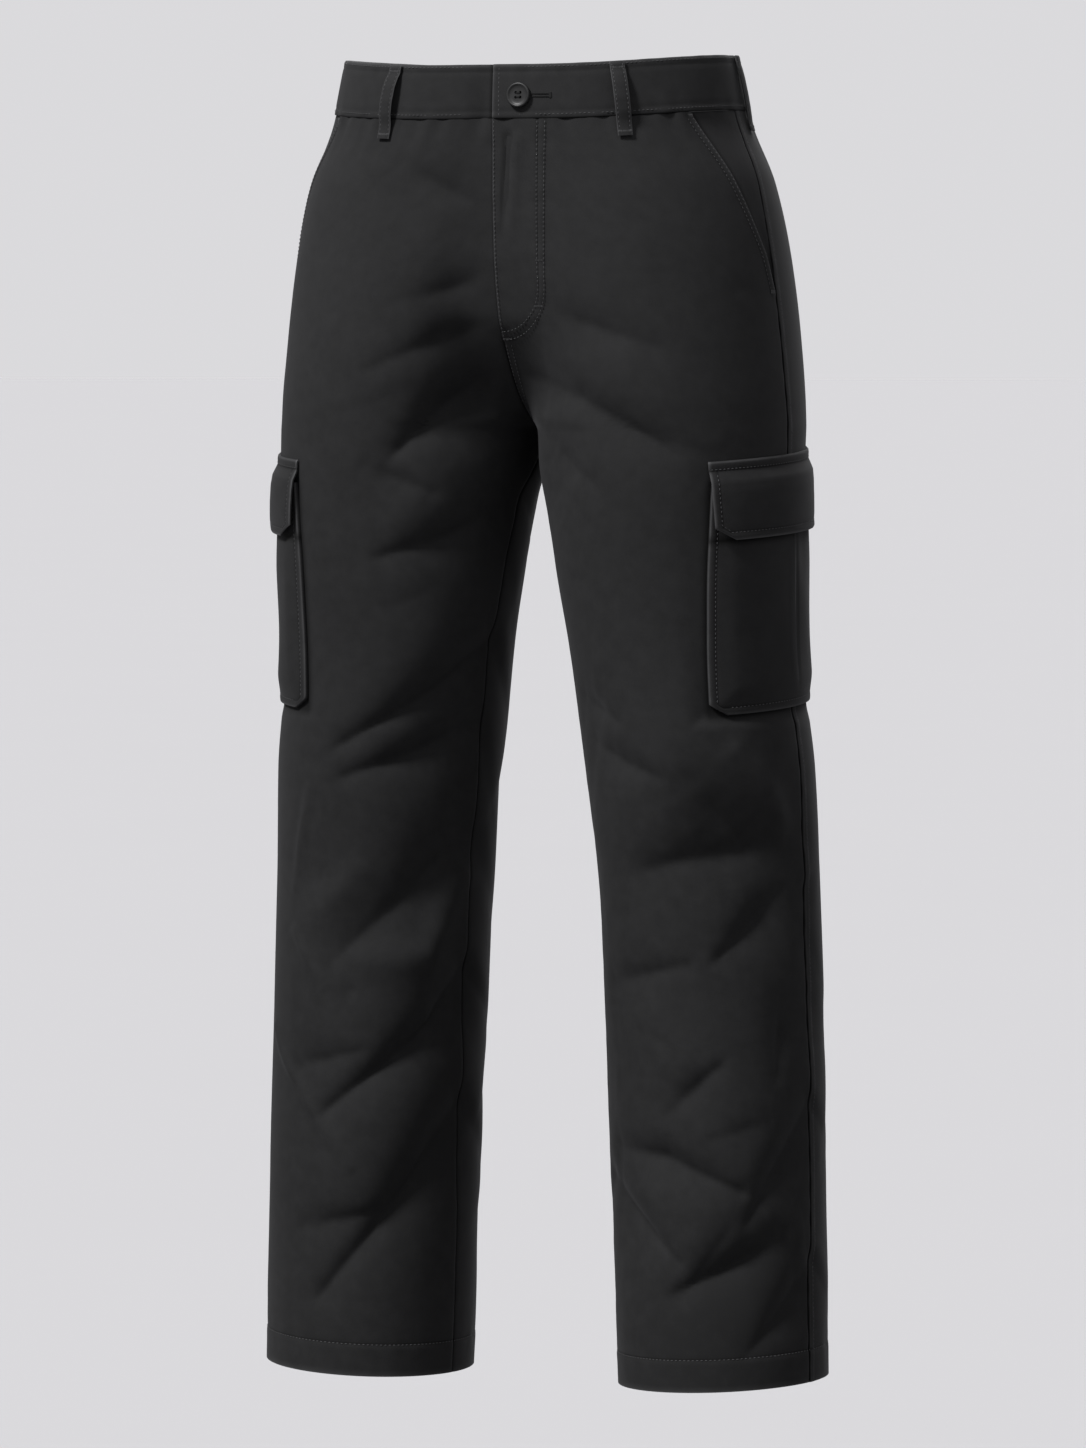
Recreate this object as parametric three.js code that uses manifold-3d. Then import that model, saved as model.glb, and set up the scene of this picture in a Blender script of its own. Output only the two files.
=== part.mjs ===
// Cargo trousers in cotton twill, kept in the hollow form they have when worn.
// Millimetres. X is the wearer's left, the front faces -Y, +Z is up.
// The origin is the centre of the waist opening, level with the waistband's top at the sides.
import * as THREE from "three";
import * as BufferGeometryUtils from "three/addons/utils/BufferGeometryUtils.js";
import Module from "manifold-3d";

const wasm = await Module();
wasm.setup();

// Heights
const CROTCH_Z = -294;
const HEM_Z = -1035;
const HEM_DEPTH = 25;
const BAND_HEIGHT = 43;
const SEAM_GAP = 0.3;

// Dip of the waist's top edge below the origin, and of the hem's inner side below its outer side
const WAIST_DIP = { front: 10, side: 2, back: 5 };
const WAIST_DIP_ENDS = -200;
const HEM_DIP = 7;
const HEM_DIP_STARTS = -700;

// Cloth
const CLOTH = 1.6;
const HEM_CLOTH = 3;
const BAND = { out: 0.8, in: -2 };
const BAND_LAP = { from: 14, to: 40, columns: 5, out: -4, in: -5.3 };
const RISE_EDGE = 0.16;
const THIGH_EDGE = 0.7;

// Grids: rows up each leg, rows from crotch to waistband, columns across a panel
const LEG_ROWS = 27;
const RISE_ROWS = 12;
const RISE_CROWDING = 1.5;
const CROTCH_STEP = 3;
const FRONT_COLUMNS = 10;
const BACK_COLUMNS = 11;
const BAND_COLUMNS = 22;

// Seams, measured forward of the widest point at the side and of the ring's inner point
const INSEAM_FORWARD = 24;
const INSEAM_SETTLES = 60;

// Strip behind the fly: its width on each side of the centre, narrowing towards its lower end
const FLY = { over: 46, under: 12, top: -44, bottom: -222, out: -2.2, rows: 8, columns: 8 };
const FLY_NARROWS = { over: 40, by: 0.45 };

// Slant hip pocket: distance of its mouth from the side seam at the waistband, and its lower end
const SLANT = { top: 52, knee_z: -156, knee: 7, end: -192 };
const HIP_FACING = { lap: 18, out: -3.1, bottom: -176, short: 9, rows: 7, columns: 8 };

// Cargo pocket and its flap, centred on the side seam and lower at the front
const POCKET = { half: 81, top: -329, bottom: -508, proud: 8.5, foot: 0.55, chamfer: 13 };
const POCKET_GRID = { rows: 7, columns: 10, lean: 0.8 };
const FLAP = { half: 85, top: -311, down: 61, cloth: 2.2, taper: 7, chamfer: 15, columns: 10 };
const POCKET_TILT = -0.06;
const POCKET_SEAM_C = 19;

// Belt loops
const LOOP = { width: 11, cloth: 1.8, length: 59, below_band: 16, behind_side: 8 };
const FRONT_LOOP = {
  left: { from_centre_top: 97, from_centre_end: 106 },
  right: { from_centre_top: 83, from_centre_end: 93 },
};

// Button
const BUTTON = { x: 21, z: -34.5, radius: 9.7, rim: 1.7, thick: 3.6, off_band: 0.5 };
const BUTTON_HOLES = { count: 4, radius: 0.95, ring: 2.1, steps: 10 };
const ROUND_STEPS = 28;

const table = (columns, rows) =>
  rows.map((row) => Object.fromEntries(columns.map((name, i) => [name, row[i]])));

// Level sections of one half. The side point is the widest, front and back are the points
// furthest forward and back, inner_x is the centre line or the leg's inner side, rise_front and
// rise_back are the y of the centre seam (of the leg's inner point where closed is 1).
const SECTIONS = table(
  [
    "z", "side_x", "side_y", "front_x", "front_y", "back_x", "back_y",
    "inner_x", "rise_front", "rise_back", "closed",
  ],
  [
    [5, 156, 0, 35, -108, 40, 105, 0, -107, 105, 0],
    [-50, 168, 0, 45, -112, 50, 113, 0, -110, 111, 0],
    [-100, 187, 1, 65, -115, 65, 124, 0, -110, 118, 0],
    [-150, 197.2, 2, 80, -117, 80, 132, 0, -108, 122, 0],
    [-200, 203.8, 2, 92, -118, 90, 136, 0, -99, 118, 0.05],
    [-235, 207.2, 2, 100, -118, 97, 134, 0, -79, 104, 0.2],
    [-265, 210, 1, 105, -117, 102, 129, 0, -53, 80, 0.45],
    [-285, 211.3, 1, 108, -115, 105, 123, 0, -22, 45, 0.8],
    [-294, 211.8, 0, 109, -114, 106, 120, 1.2, 12, 12, 1],
    [-320, 211.9, -2, 110, -113, 108, 112, 3, 8, 8, 1],
    [-350, 211, -3, 112, -111, 110, 105, 9, 2, 2, 1],
    [-400, 209.8, -3, 116, -106, 115, 101, 18, -2, -2, 1],
    [-450, 209.8, -1, 120, -100, 120, 98, 27, -1, -1, 1],
    [-500, 212, 1, 125, -94, 125, 98, 34.5, 1, 1, 1],
    [-560, 217.8, 4, 130, -88, 130, 96, 42, 4, 4, 1],
    [-650, 221.2, 8, 135, -81.5, 135, 96.5, 50.5, 8, 8, 1],
    [-750, 224.6, 8, 139.5, -79, 139.5, 95, 56, 8, 8, 1],
    [-850, 227.2, 6, 143, -81, 143, 93, 60, 6, 6, 1],
    [-950, 229.2, 4, 146, -82, 146, 90, 64, 4, 4, 1],
    [-1045, 231.2, 1, 149, -85, 149, 87, 68, 1, 1, 1],
  ],
);

// How far the side seam lies in front of the widest point
const SIDE_SEAM = table(
  ["z", "forward"],
  [[5, 14], [-50, 15], [-150, 22], [-300, 20], [-520, 17], [-800, 16], [-1045, 25]],
);

// Folds of each leg (1 is the wearer's left, -1 the right). Turn is the direction round the
// leg's own axis in degrees: 0 is the outer side, -90 the front, 90 the back, 180 the inner
// side. Each fold runs from a through m to b. Depth is a trough's, and a ridge's is negative.
const FOLDS = table(
  ["leg", "turn_a", "z_a", "turn_m", "z_m", "turn_b", "z_b", "width", "depth"],
  [
    [-1, -91, -74, -106, -95, -120, -115, 16, 2],
    [-1, -96, -186, -112, -178, -126, -167, 18, 2.5],
    [-1, -129, -201, -113, -215, -92, -238, 17, 4],
    [-1, -138, -238, -118, -271, -104, -303, 19, 7],
    [-1, -93, -316, -106, -327, -119, -338, 16, 2.5],
    [-1, -150, -351, -126, -373, -101, -387, 19, 4.5],
    [-1, -160, -453, -133, -486, -86, -535, 21, 6.5],
    [-1, -156, -515, -123, -540, -90, -560, 21, 6],
    [-1, -149, -603, -120, -650, -90, -697, 34, 6],
    [-1, -98, -639, -85, -660, -72, -681, 15, -3],
    [-1, -156, -642, -135, -707, -90, -713, 15, -3.5],
    [-1, -156, -716, -138, -758, -83, -829, 21, 7.5],
    [-1, -64, -790, -81, -785, -98, -780, 14, 3],
    [-1, -156, -820, -130, -877, -86, -980, 23, 7.5],
    [-1, -72, -915, -90, -910, -109, -905, 15, 3.5],
    [-1, 160, -318, 128, -326, 96, -322, 20, 5],
    [-1, 150, -366, 120, -392, 84, -402, 20, 4],
    [-1, 40, -560, 74, -590, 118, -606, 19, 5],
    [-1, 152, -560, 118, -622, 70, -650, 20, 6],
    [-1, 60, -690, 100, -706, 142, -690, 18, 5],
    [-1, 30, -742, 66, -776, 108, -800, 19, 5.5],
    [-1, 150, -800, 120, -846, 76, -868, 20, 6],
    [-1, 36, -880, 70, -930, 110, -960, 20, 5],
    [-1, 146, -900, 128, -950, 100, -985, 18, 4],
    [1, -108, -193, -90, -208, -73, -223, 22, 3],
    [1, -137, -242, -104, -263, -61, -315, 19, 5],
    [1, -126, -300, -117, -313, -108, -326, 20, 3],
    [1, -133, -495, -122, -503, -112, -512, 16, 3],
    [1, -130, -530, -112, -543, -94, -556, 16, 4],
    [1, -98, -629, -62, -622, -27, -612, 17, 7],
    [1, -70, -560, -60, -585, -50, -606, 28, 3.5],
    [1, -54, -541, -31, -590, -12, -639, 15, -4],
    [1, -31, -648, -50, -672, -68, -697, 17, 5],
    [1, -134, -717, -110, -711, -86, -704, 15, 3],
    [1, -98, -814, -85, -799, -72, -784, 16, 4],
    [1, -35, -735, -37, -762, -39, -789, 16, 3],
    [1, -134, -844, -98, -850, -61, -878, 16, 5.5],
    [1, -145, -868, -112, -906, -94, -930, 16, 4.5],
    [1, -39, -920, -66, -942, -94, -963, 19, 7],
    [1, -16, -814, -46, -872, -57, -900, 16, 4],
    [1, -16, -937, -36, -970, -57, -1002, 17, 4],
    [1, 156, -322, 124, -330, 92, -318, 20, 5],
    [1, 146, -372, 112, -400, 78, -396, 20, 4],
    [1, 44, -552, 80, -584, 122, -592, 19, 5],
    [1, 156, -548, 124, -604, 80, -640, 20, 6],
    [1, 40, -668, 84, -696, 132, -702, 18, 5],
    [1, 156, -730, 118, -770, 70, -786, 20, 6],
    [1, 34, -800, 72, -842, 112, -852, 19, 5],
    [1, 150, -858, 118, -900, 80, -930, 20, 5.5],
    [1, 40, -930, 66, -962, 96, -992, 17, 4],
  ],
);
const UNROLLED_RADIUS = 95;
const TORSO_AXIS_X = 60;
const SHOULDER = { at: 1.75, share: 0.35, sharp: 1.6 };
const FOLD_ENDS = { from: 0.15, over: 0.7, least: 0.45 };

// Folds die out at the centre seam, the waistband, the hem and under the cargo pocket
const CALM = { centre_x: 30, waist_z: -50, waist_over: 50, hem_share: 0.25, hem_over: 60 };
const CALM_POCKET = { turn: -13, half_turn: 50, turn_over: 12, z: -411, half_z: 98, z_over: 14 };

const mix = (a, b, t) => a + (b - a) * t;
const clamp = (t) => Math.min(1, Math.max(0, t));
const smooth = (t) => clamp(t) ** 2 * (3 - 2 * clamp(t));

// Smooth, never overshooting value of a table's column at height z
function atHeight(rows, column, z) {
  const at = (i) => -rows[i].z;
  const last = rows.length - 1;
  let k = 0;
  while (k < last - 1 && -z > at(k + 1)) k += 1;
  const rise = (i) => (rows[i + 1][column] - rows[i][column]) / (at(i + 1) - at(i));
  const slope = (i) => {
    if (i === 0) return rise(0);
    if (i === last) return rise(last - 1);
    const [a, b] = [rise(i - 1), rise(i)];
    return a * b > 0 ? (2 * a * b) / (a + b) : 0;
  };
  const h = at(k + 1) - at(k);
  const t = (-z - at(k)) / h;
  return (
    (2 * t ** 3 - 3 * t ** 2 + 1) * rows[k][column] +
    (t ** 3 - 2 * t ** 2 + t) * h * slope(k) +
    (3 * t ** 2 - 2 * t ** 3) * rows[k + 1][column] +
    (t ** 3 - t ** 2) * h * slope(k + 1)
  );
}

const ROUND = 0.5523;
const CURVE_STEPS = 28;

// One level section: points from the side point forward (positive c) and backward (negative c)
const sections = new Map();
function section(z) {
  const key = z.toFixed(3);
  if (sections.has(key)) return sections.get(key);
  const value = Object.fromEntries(
    Object.keys(SECTIONS[0]).map((name) => [name, atHeight(SECTIONS, name, z)]),
  );
  const side = new THREE.Vector2(value.side_x, value.side_y);
  const branch = (apex, end) => {
    const first = new THREE.CubicBezierCurve(
      side,
      new THREE.Vector2(side.x, mix(side.y, apex.y, ROUND)),
      new THREE.Vector2(mix(apex.x, side.x, ROUND), apex.y),
      apex,
    );
    const inward = new THREE.Vector2(
      mix(end.x, apex.x, (1 - value.closed) * ROUND),
      mix(end.y, apex.y, value.closed * ROUND),
    );
    const second = new THREE.CubicBezierCurve(
      apex,
      new THREE.Vector2(mix(apex.x, end.x, ROUND), apex.y),
      inward,
      end,
    );
    const points = [...first.getPoints(CURVE_STEPS), ...second.getPoints(CURVE_STEPS).slice(1)];
    const lengths = [0];
    points.slice(1).forEach((p, i) => lengths.push(lengths[i] + p.distanceTo(points[i])));
    return { points, lengths, total: lengths[lengths.length - 1] };
  };
  const made = {
    value,
    front: branch(
      new THREE.Vector2(value.front_x, value.front_y),
      new THREE.Vector2(value.inner_x, value.rise_front),
    ),
    back: branch(
      new THREE.Vector2(value.back_x, value.back_y),
      new THREE.Vector2(value.inner_x, value.rise_back),
    ),
  };
  sections.set(key, made);
  return made;
}

function along(branch, length) {
  const target = Math.min(Math.max(length, 0), branch.total);
  let k = 1;
  while (k < branch.lengths.length - 1 && branch.lengths[k] < target) k += 1;
  const t = (target - branch.lengths[k - 1]) / (branch.lengths[k] - branch.lengths[k - 1]);
  return branch.points[k - 1].clone().lerp(branch.points[k], t);
}

// Point of a section at the distance c from its side point, running on round a closed leg
function sectionPoint(z, c) {
  const { front, back } = section(z);
  const closed = z <= CROTCH_Z;
  let place = c;
  if (closed && place > front.total) place -= front.total + back.total;
  if (closed && place < -back.total) place += front.total + back.total;
  return place >= 0 ? along(front, place) : along(back, -place);
}

const turnDistance = (a, b) => ((a - b + 540) % 360) - 180;

function foldDepth(leg, p, z) {
  const { value } = section(z);
  const torso = clamp((z - CROTCH_Z) / -CROTCH_Z);
  const centre_x = mix((value.side_x + value.inner_x) / 2, TORSO_AXIS_X, torso);
  const centre_y = (value.front_y + value.back_y) / 2;
  const turn = THREE.MathUtils.radToDeg(Math.atan2(p.y - centre_y, p.x - centre_x));
  const arc = THREE.MathUtils.degToRad(1) * UNROLLED_RADIUS;
  let depth = 0;
  for (const fold of FOLDS) {
    if (fold.leg !== leg) continue;
    let nearest = Infinity;
    let signed = 0;
    let run = 0;
    const ends = [
      [fold.turn_a, fold.z_a, fold.turn_m, fold.z_m],
      [fold.turn_m, fold.z_m, fold.turn_b, fold.z_b],
    ];
    ends.forEach(([turn_0, z_0, turn_1, z_1], i) => {
      const dx = turnDistance(turn_1, turn_0) * arc;
      const dz = z_1 - z_0;
      const px = turnDistance(turn, turn_0) * arc;
      const pz = z - z_0;
      const t = clamp((px * dx + pz * dz) / (dx * dx + dz * dz));
      const away = Math.hypot(px - t * dx, pz - t * dz);
      if (away < nearest) {
        nearest = away;
        signed = pz > t * dz ? away : -away;
        run = (i + t) / 2;
      }
    });
    const bell = Math.sin(Math.PI * (FOLD_ENDS.from + FOLD_ENDS.over * run));
    const taper = mix(FOLD_ENDS.least, 1, bell);
    const trough = Math.exp(-((nearest / fold.width) ** 2));
    const shoulder = Math.exp(-((signed / fold.width - SHOULDER.at) ** 2) * SHOULDER.sharp);
    depth += fold.depth * taper * (trough - SHOULDER.share * shoulder);
  }
  const centre = z > CROTCH_Z ? smooth(p.x / CALM.centre_x) : 1;
  const waist = smooth((CALM.waist_z - z) / CALM.waist_over);
  const hem = mix(CALM.hem_share, 1, smooth((z - HEM_Z) / CALM.hem_over));
  const { turn: middle, half_turn, turn_over, half_z, z_over } = CALM_POCKET;
  const beside = smooth((Math.abs(turn - middle) - half_turn) / turn_over);
  const above = smooth((Math.abs(z - CALM_POCKET.z) - half_z) / z_over);
  return depth * centre * waist * hem * Math.max(beside, above);
}

const dipAt = (p, z, value) => {
  const ahead = clamp((p.y - value.side_y) / (value.front_y - value.side_y)) ** 2;
  const behind = clamp((p.y - value.side_y) / (value.back_y - value.side_y)) ** 2;
  const { front, side, back } = WAIST_DIP;
  const waist = side + (front - side) * ahead + (back - side) * behind;
  const inward = (value.side_x - p.x) / (value.side_x - value.inner_x);
  return (
    waist * smooth((z - WAIST_DIP_ENDS) / -WAIST_DIP_ENDS) +
    HEM_DIP * inward * smooth((HEM_DIP_STARTS - z) / (HEM_DIP_STARTS - HEM_Z))
  );
};

// A point of the cloth's outer face, in the left half's own frame
function clothPoint(leg, z, c) {
  const p = sectionPoint(z, c);
  const step = 2;
  const ahead = sectionPoint(z, c + step);
  const behind = sectionPoint(z, c - step);
  const out = new THREE.Vector2(behind.y - ahead.y, ahead.x - behind.x).normalize();
  const depth = foldDepth(leg, p, z);
  const { value } = section(z);
  const edge = z > CROTCH_Z ? RISE_EDGE : THIGH_EDGE;
  return new THREE.Vector3(
    Math.max(p.x - out.x * depth, edge),
    p.y - out.y * depth,
    z - dipAt(p, z, value),
  );
}

// The cloth's point moved out along its normal
function cloth(leg, z, c, out = 0) {
  const p = clothPoint(leg, z, c);
  if (out === 0) return p;
  const reach = 3;
  const total = z > CROTCH_Z ? section(z).front.total : Infinity;
  const back_total = z > CROTCH_Z ? -section(z).back.total : -Infinity;
  const c0 = Math.max(c - reach, back_total);
  const c1 = Math.min(c + reach, total);
  const across = clothPoint(leg, z, c1).sub(clothPoint(leg, z, c0));
  const top = Math.min(z + reach, 4);
  const up = clothPoint(leg, top, c).sub(clothPoint(leg, top - 2 * reach, c));
  const normal = up.cross(across).normalize();
  if (c1 === total || c0 === back_total) normal.setX(0).normalize();
  const moved = p.clone().addScaledVector(normal, out);
  moved.x = Math.max(moved.x, z > CROTCH_Z ? RISE_EDGE : THIGH_EDGE);
  return moved;
}

// Places across a panel
const sideSeam = (z) => atHeight(SIDE_SEAM, "forward", z);
const inseam = (z) =>
  section(z).front.total - INSEAM_FORWARD * smooth((CROTCH_Z - z) / INSEAM_SETTLES);
const slantMouth = (z) => {
  if (z < SLANT.end) return 0;
  if (z < SLANT.knee_z) return mix(0, SLANT.knee, (z - SLANT.end) / (SLANT.knee_z - SLANT.end));
  return mix(SLANT.knee, SLANT.top, (z - SLANT.knee_z) / (-BAND_HEIGHT - SLANT.knee_z));
};

// A closed wall between two grids of points with the same rows and columns
function wall(name, material, outer, inner) {
  const rows = outer.length;
  const columns = outer[0].length;
  const vertices = [...outer.flat(), ...inner.flat()];
  const index = [];
  const quad = (a, b, c, d) => index.push(a, b, c, a, c, d);
  const at = (face, row, column) => (face * rows + row) * columns + column;
  const top = rows - 1;
  const end = columns - 1;
  for (let row = 0; row < top; row += 1) {
    for (let column = 0; column < end; column += 1) {
      const corners = (face) => [
        at(face, row, column),
        at(face, row, column + 1),
        at(face, row + 1, column + 1),
        at(face, row + 1, column),
      ];
      quad(...corners(0));
      const [a, b, c, d] = corners(1);
      quad(a, d, c, b);
    }
  }
  for (let column = 0; column < end; column += 1) {
    quad(at(0, 0, column + 1), at(0, 0, column), at(1, 0, column), at(1, 0, column + 1));
    quad(at(0, top, column), at(0, top, column + 1), at(1, top, column + 1), at(1, top, column));
  }
  for (let row = 0; row < top; row += 1) {
    quad(at(0, row, 0), at(0, row + 1, 0), at(1, row + 1, 0), at(1, row, 0));
    quad(at(0, row + 1, end), at(0, row, end), at(1, row, end), at(1, row + 1, end));
  }
  return solid(name, material, vertices, index);
}

// A mesh whose faces are turned to point out
function solid(name, material, vertices, index) {
  let volume = 0;
  const triple = new THREE.Vector3();
  for (let i = 0; i < index.length; i += 3) {
    const [a, b, c] = [vertices[index[i]], vertices[index[i + 1]], vertices[index[i + 2]]];
    volume += triple.copy(a).cross(b).dot(c);
  }
  if (volume < 0) index.reverse();
  const geometry = new THREE.BufferGeometry().setFromPoints(vertices);
  geometry.setIndex(index);
  geometry.computeVertexNormals();
  const mesh = new THREE.Mesh(geometry, material);
  mesh.name = name;
  return mesh;
}

const place = (leg, p) => new THREE.Vector3(leg * p.x, p.y, p.z);
const steps = (count) => Array.from({ length: count + 1 }, (_, i) => i / count);

const TWILL = new THREE.MeshStandardMaterial({ color: 0x2a2a2b, roughness: 0.9, metalness: 0 });
const TWILL_TRIM = new THREE.MeshStandardMaterial({ color: 0x262627, roughness: 0.9, metalness: 0 });
const HORN = new THREE.MeshStandardMaterial({ color: 0x2e2e30, roughness: 0.45, metalness: 0 });

const PANEL_TOP = -BAND_HEIGHT - SEAM_GAP;
const HEM_TOP = HEM_Z + HEM_DEPTH;
const HEM_STEP = 3;
const panelHeights = [
  HEM_Z,
  HEM_TOP,
  HEM_TOP + HEM_STEP,
  ...steps(LEG_ROWS).slice(1).map((t) => mix(HEM_TOP + HEM_STEP, CROTCH_Z - CROTCH_STEP, t)),
  CROTCH_Z + CROTCH_STEP,
  ...steps(RISE_ROWS)
    .slice(1)
    .map((t) => mix(CROTCH_Z + CROTCH_STEP, PANEL_TOP, t ** RISE_CROWDING)),
  PANEL_TOP - LOOP.below_band,
].sort((a, b) => a - b);
const panelCloth = (z) => (z <= HEM_TOP ? HEM_CLOTH : CLOTH);

// Front or back panel of one leg: rows from hem to waistband, columns from side to centre
function panel(name, leg, start, end, columns) {
  const grid = (inside) =>
    panelHeights.map((z) =>
      steps(columns).map((t) =>
        place(leg, cloth(leg, z, mix(start(z), end(z), t), inside ? -panelCloth(z) : 0)),
      ),
    );
  return wall(name, TWILL, grid(false), grid(true));
}

const front = (name, leg) =>
  panel(
    name,
    leg,
    (z) => sideSeam(z) + SEAM_GAP / 2 + slantMouth(z),
    (z) => inseam(z) - (z > CROTCH_Z ? 0 : SEAM_GAP / 2),
    FRONT_COLUMNS,
  );

const back = (name, leg) =>
  panel(
    name,
    leg,
    (z) => sideSeam(z) - SEAM_GAP / 2,
    (z) => {
      const { front: ahead, back: behind } = section(z);
      if (z > CROTCH_Z) return -behind.total;
      return -behind.total - (ahead.total - inseam(z)) + SEAM_GAP / 2;
    },
    BACK_COLUMNS,
  );

const spread = (top, bottom, count) => steps(count).map((t) => mix(bottom, top, t));

// The piece that shows between the slant mouth and the side seam, and laps behind the front
function hipFacing(name, leg) {
  const { lap, out, bottom, short, rows, columns } = HIP_FACING;
  const sunk = (z, c) => smooth((c - sideSeam(z)) / Math.max(slantMouth(z) - short, 1));
  const grid = (depth) =>
    spread(PANEL_TOP, bottom, rows).map((z) =>
      steps(columns).map((t) => {
        const c = sideSeam(z) + mix(2 * SEAM_GAP, slantMouth(z) + lap, t);
        return place(leg, cloth(leg, z, c, out * sunk(z, c) - depth));
      }),
    );
  return wall(name, TWILL_TRIM, grid(0), grid(CLOTH));
}

// The strip behind the fly, from the wearer's right of the centre to the left
function flyShield(name) {
  const grid = (offset) =>
    spread(FLY.top, FLY.bottom, FLY.rows).map((z) => {
      const above_end = (z - FLY.bottom) / FLY_NARROWS.over;
      const narrow = 1 - FLY_NARROWS.by * (1 - smooth(above_end));
      return steps(FLY.columns).map((t) => {
        const from_centre = mix(-FLY.under, FLY.over * narrow, t);
        const leg = from_centre < 0 ? -1 : 1;
        const c = section(z).front.total - Math.abs(from_centre);
        return place(leg, cloth(leg, z, c, offset));
      });
    });
  return wall(name, TWILL_TRIM, grid(FLY.out), grid(FLY.out - CLOTH));
}

// The waistband: from the upper end on the wearer's left, round the back, to the end below it
function waistband(name) {
  const half = (leg, parts) => parts.map((part) => ({ leg, part, past: 0, lapped: false }));
  const near = (x, lapped) => ({ leg: x < 0 ? -1 : 1, part: 0, past: Math.abs(x), lapped });
  const parts = steps(BAND_COLUMNS);
  const stations = [
    ...half(1, parts),
    ...half(-1, parts.slice(2, -1).reverse()),
    near(-BAND_LAP.from - 6, false),
    near(-BAND_LAP.from, false),
    near(-3, true),
    ...steps(BAND_LAP.columns).map((t) => near(mix(1.5, BAND_LAP.to, t), true)),
  ];
  const grid = (face) =>
    [0, -BAND_HEIGHT / 2, -BAND_HEIGHT].map((z) =>
      stations.map(({ leg, part, past, lapped }) => {
        const { front: ahead, back: behind } = section(z);
        const c = mix(ahead.total, -behind.total, part) - past;
        return place(leg, cloth(leg, z, c, lapped ? BAND_LAP[face] : BAND[face]));
      }),
    );
  return wall(name, TWILL, grid("out"), grid("in"));
}

// A belt loop, sewn down at the band's top edge and below the band, and bowed out between
const LOOP_RUN = table(
  ["z", "out"],
  [
    [-1, 1.2], [-6, 1.2], [-13, 5.8], [-20, 7.6],
    [-34, 7.6], [-42, 5.6], [-50, 1], [-LOOP.length, 0.8],
  ],
);
function beltLoop(name, leg, c_at) {
  const grid = (extra) =>
    LOOP_RUN.map(({ z, out }) =>
      [-0.5, 0, 0.5].map((t) => place(leg, cloth(leg, z, c_at(z) + t * LOOP.width, out + extra))),
    );
  return wall(name, TWILL_TRIM, grid(LOOP.cloth), grid(0));
}

// The centre back loop lies across both halves
function backLoop(name) {
  const grid = (extra) =>
    LOOP_RUN.map(({ z, out }) =>
      [-1, 0, 1].map((t) => {
        const leg = t < 0 ? -1 : 1;
        const from_centre = Math.abs(t * LOOP.width) / 2;
        return place(leg, cloth(leg, z, -section(z).back.total + from_centre, out + extra));
      }),
    );
  return wall(name, TWILL_TRIM, grid(LOOP.cloth), grid(0));
}

const tilted = (z, c) => z + POCKET_TILT * (c - POCKET_SEAM_C);

// Cargo pocket: a panel standing off the leg on a narrow gusset, open at the top
function cargoPocket(name, leg) {
  const { rows, columns, lean } = POCKET_GRID;
  const build = (inset) => {
    const half = POCKET.half - inset;
    const bottom = POCKET.bottom + inset;
    const line = (z, width, height) => {
      const panel_places = steps(columns).map((t) => mix(-width, width, t));
      const places = [-width - lean, ...panel_places, width + lean];
      return places.map((w) => {
        const c = POCKET_SEAM_C + w;
        const out = Math.abs(w) > width ? POCKET.foot : height;
        return place(leg, cloth(leg, tilted(z, c), c, out));
      });
    };
    const proud = POCKET.proud - inset;
    return [
      line(bottom - lean, half - POCKET.chamfer, POCKET.foot),
      line(bottom, half - POCKET.chamfer, proud),
      ...spread(POCKET.top, bottom + POCKET.chamfer, rows).map((z) => line(z, half, proud)),
    ];
  };
  return wall(name, TWILL, build(0), build(CLOTH));
}

// Flap: sewn to the leg along its top edge, lying over the pocket and standing off below
const FLAP_RUN = table(
  ["down", "out"],
  [[0, 0.6], [8, 1.4], [15, 9.8], [24, 10.5], [37, 11.2], [50, 12], [FLAP.down, 13]],
);
function cargoFlap(name, leg) {
  const build = (extra) =>
    FLAP_RUN.map(({ down, out }) => {
      const cut = down === FLAP.down ? FLAP.chamfer : 0;
      const width = FLAP.half - (FLAP.taper * down) / FLAP.down - cut;
      return steps(FLAP.columns).map((t) => {
        const c = POCKET_SEAM_C + mix(-width, width, t);
        return place(leg, cloth(leg, tilted(FLAP.top - down, c), c, out + extra));
      });
    });
  return wall(name, TWILL_TRIM, build(FLAP.cloth), build(0));
}

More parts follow.
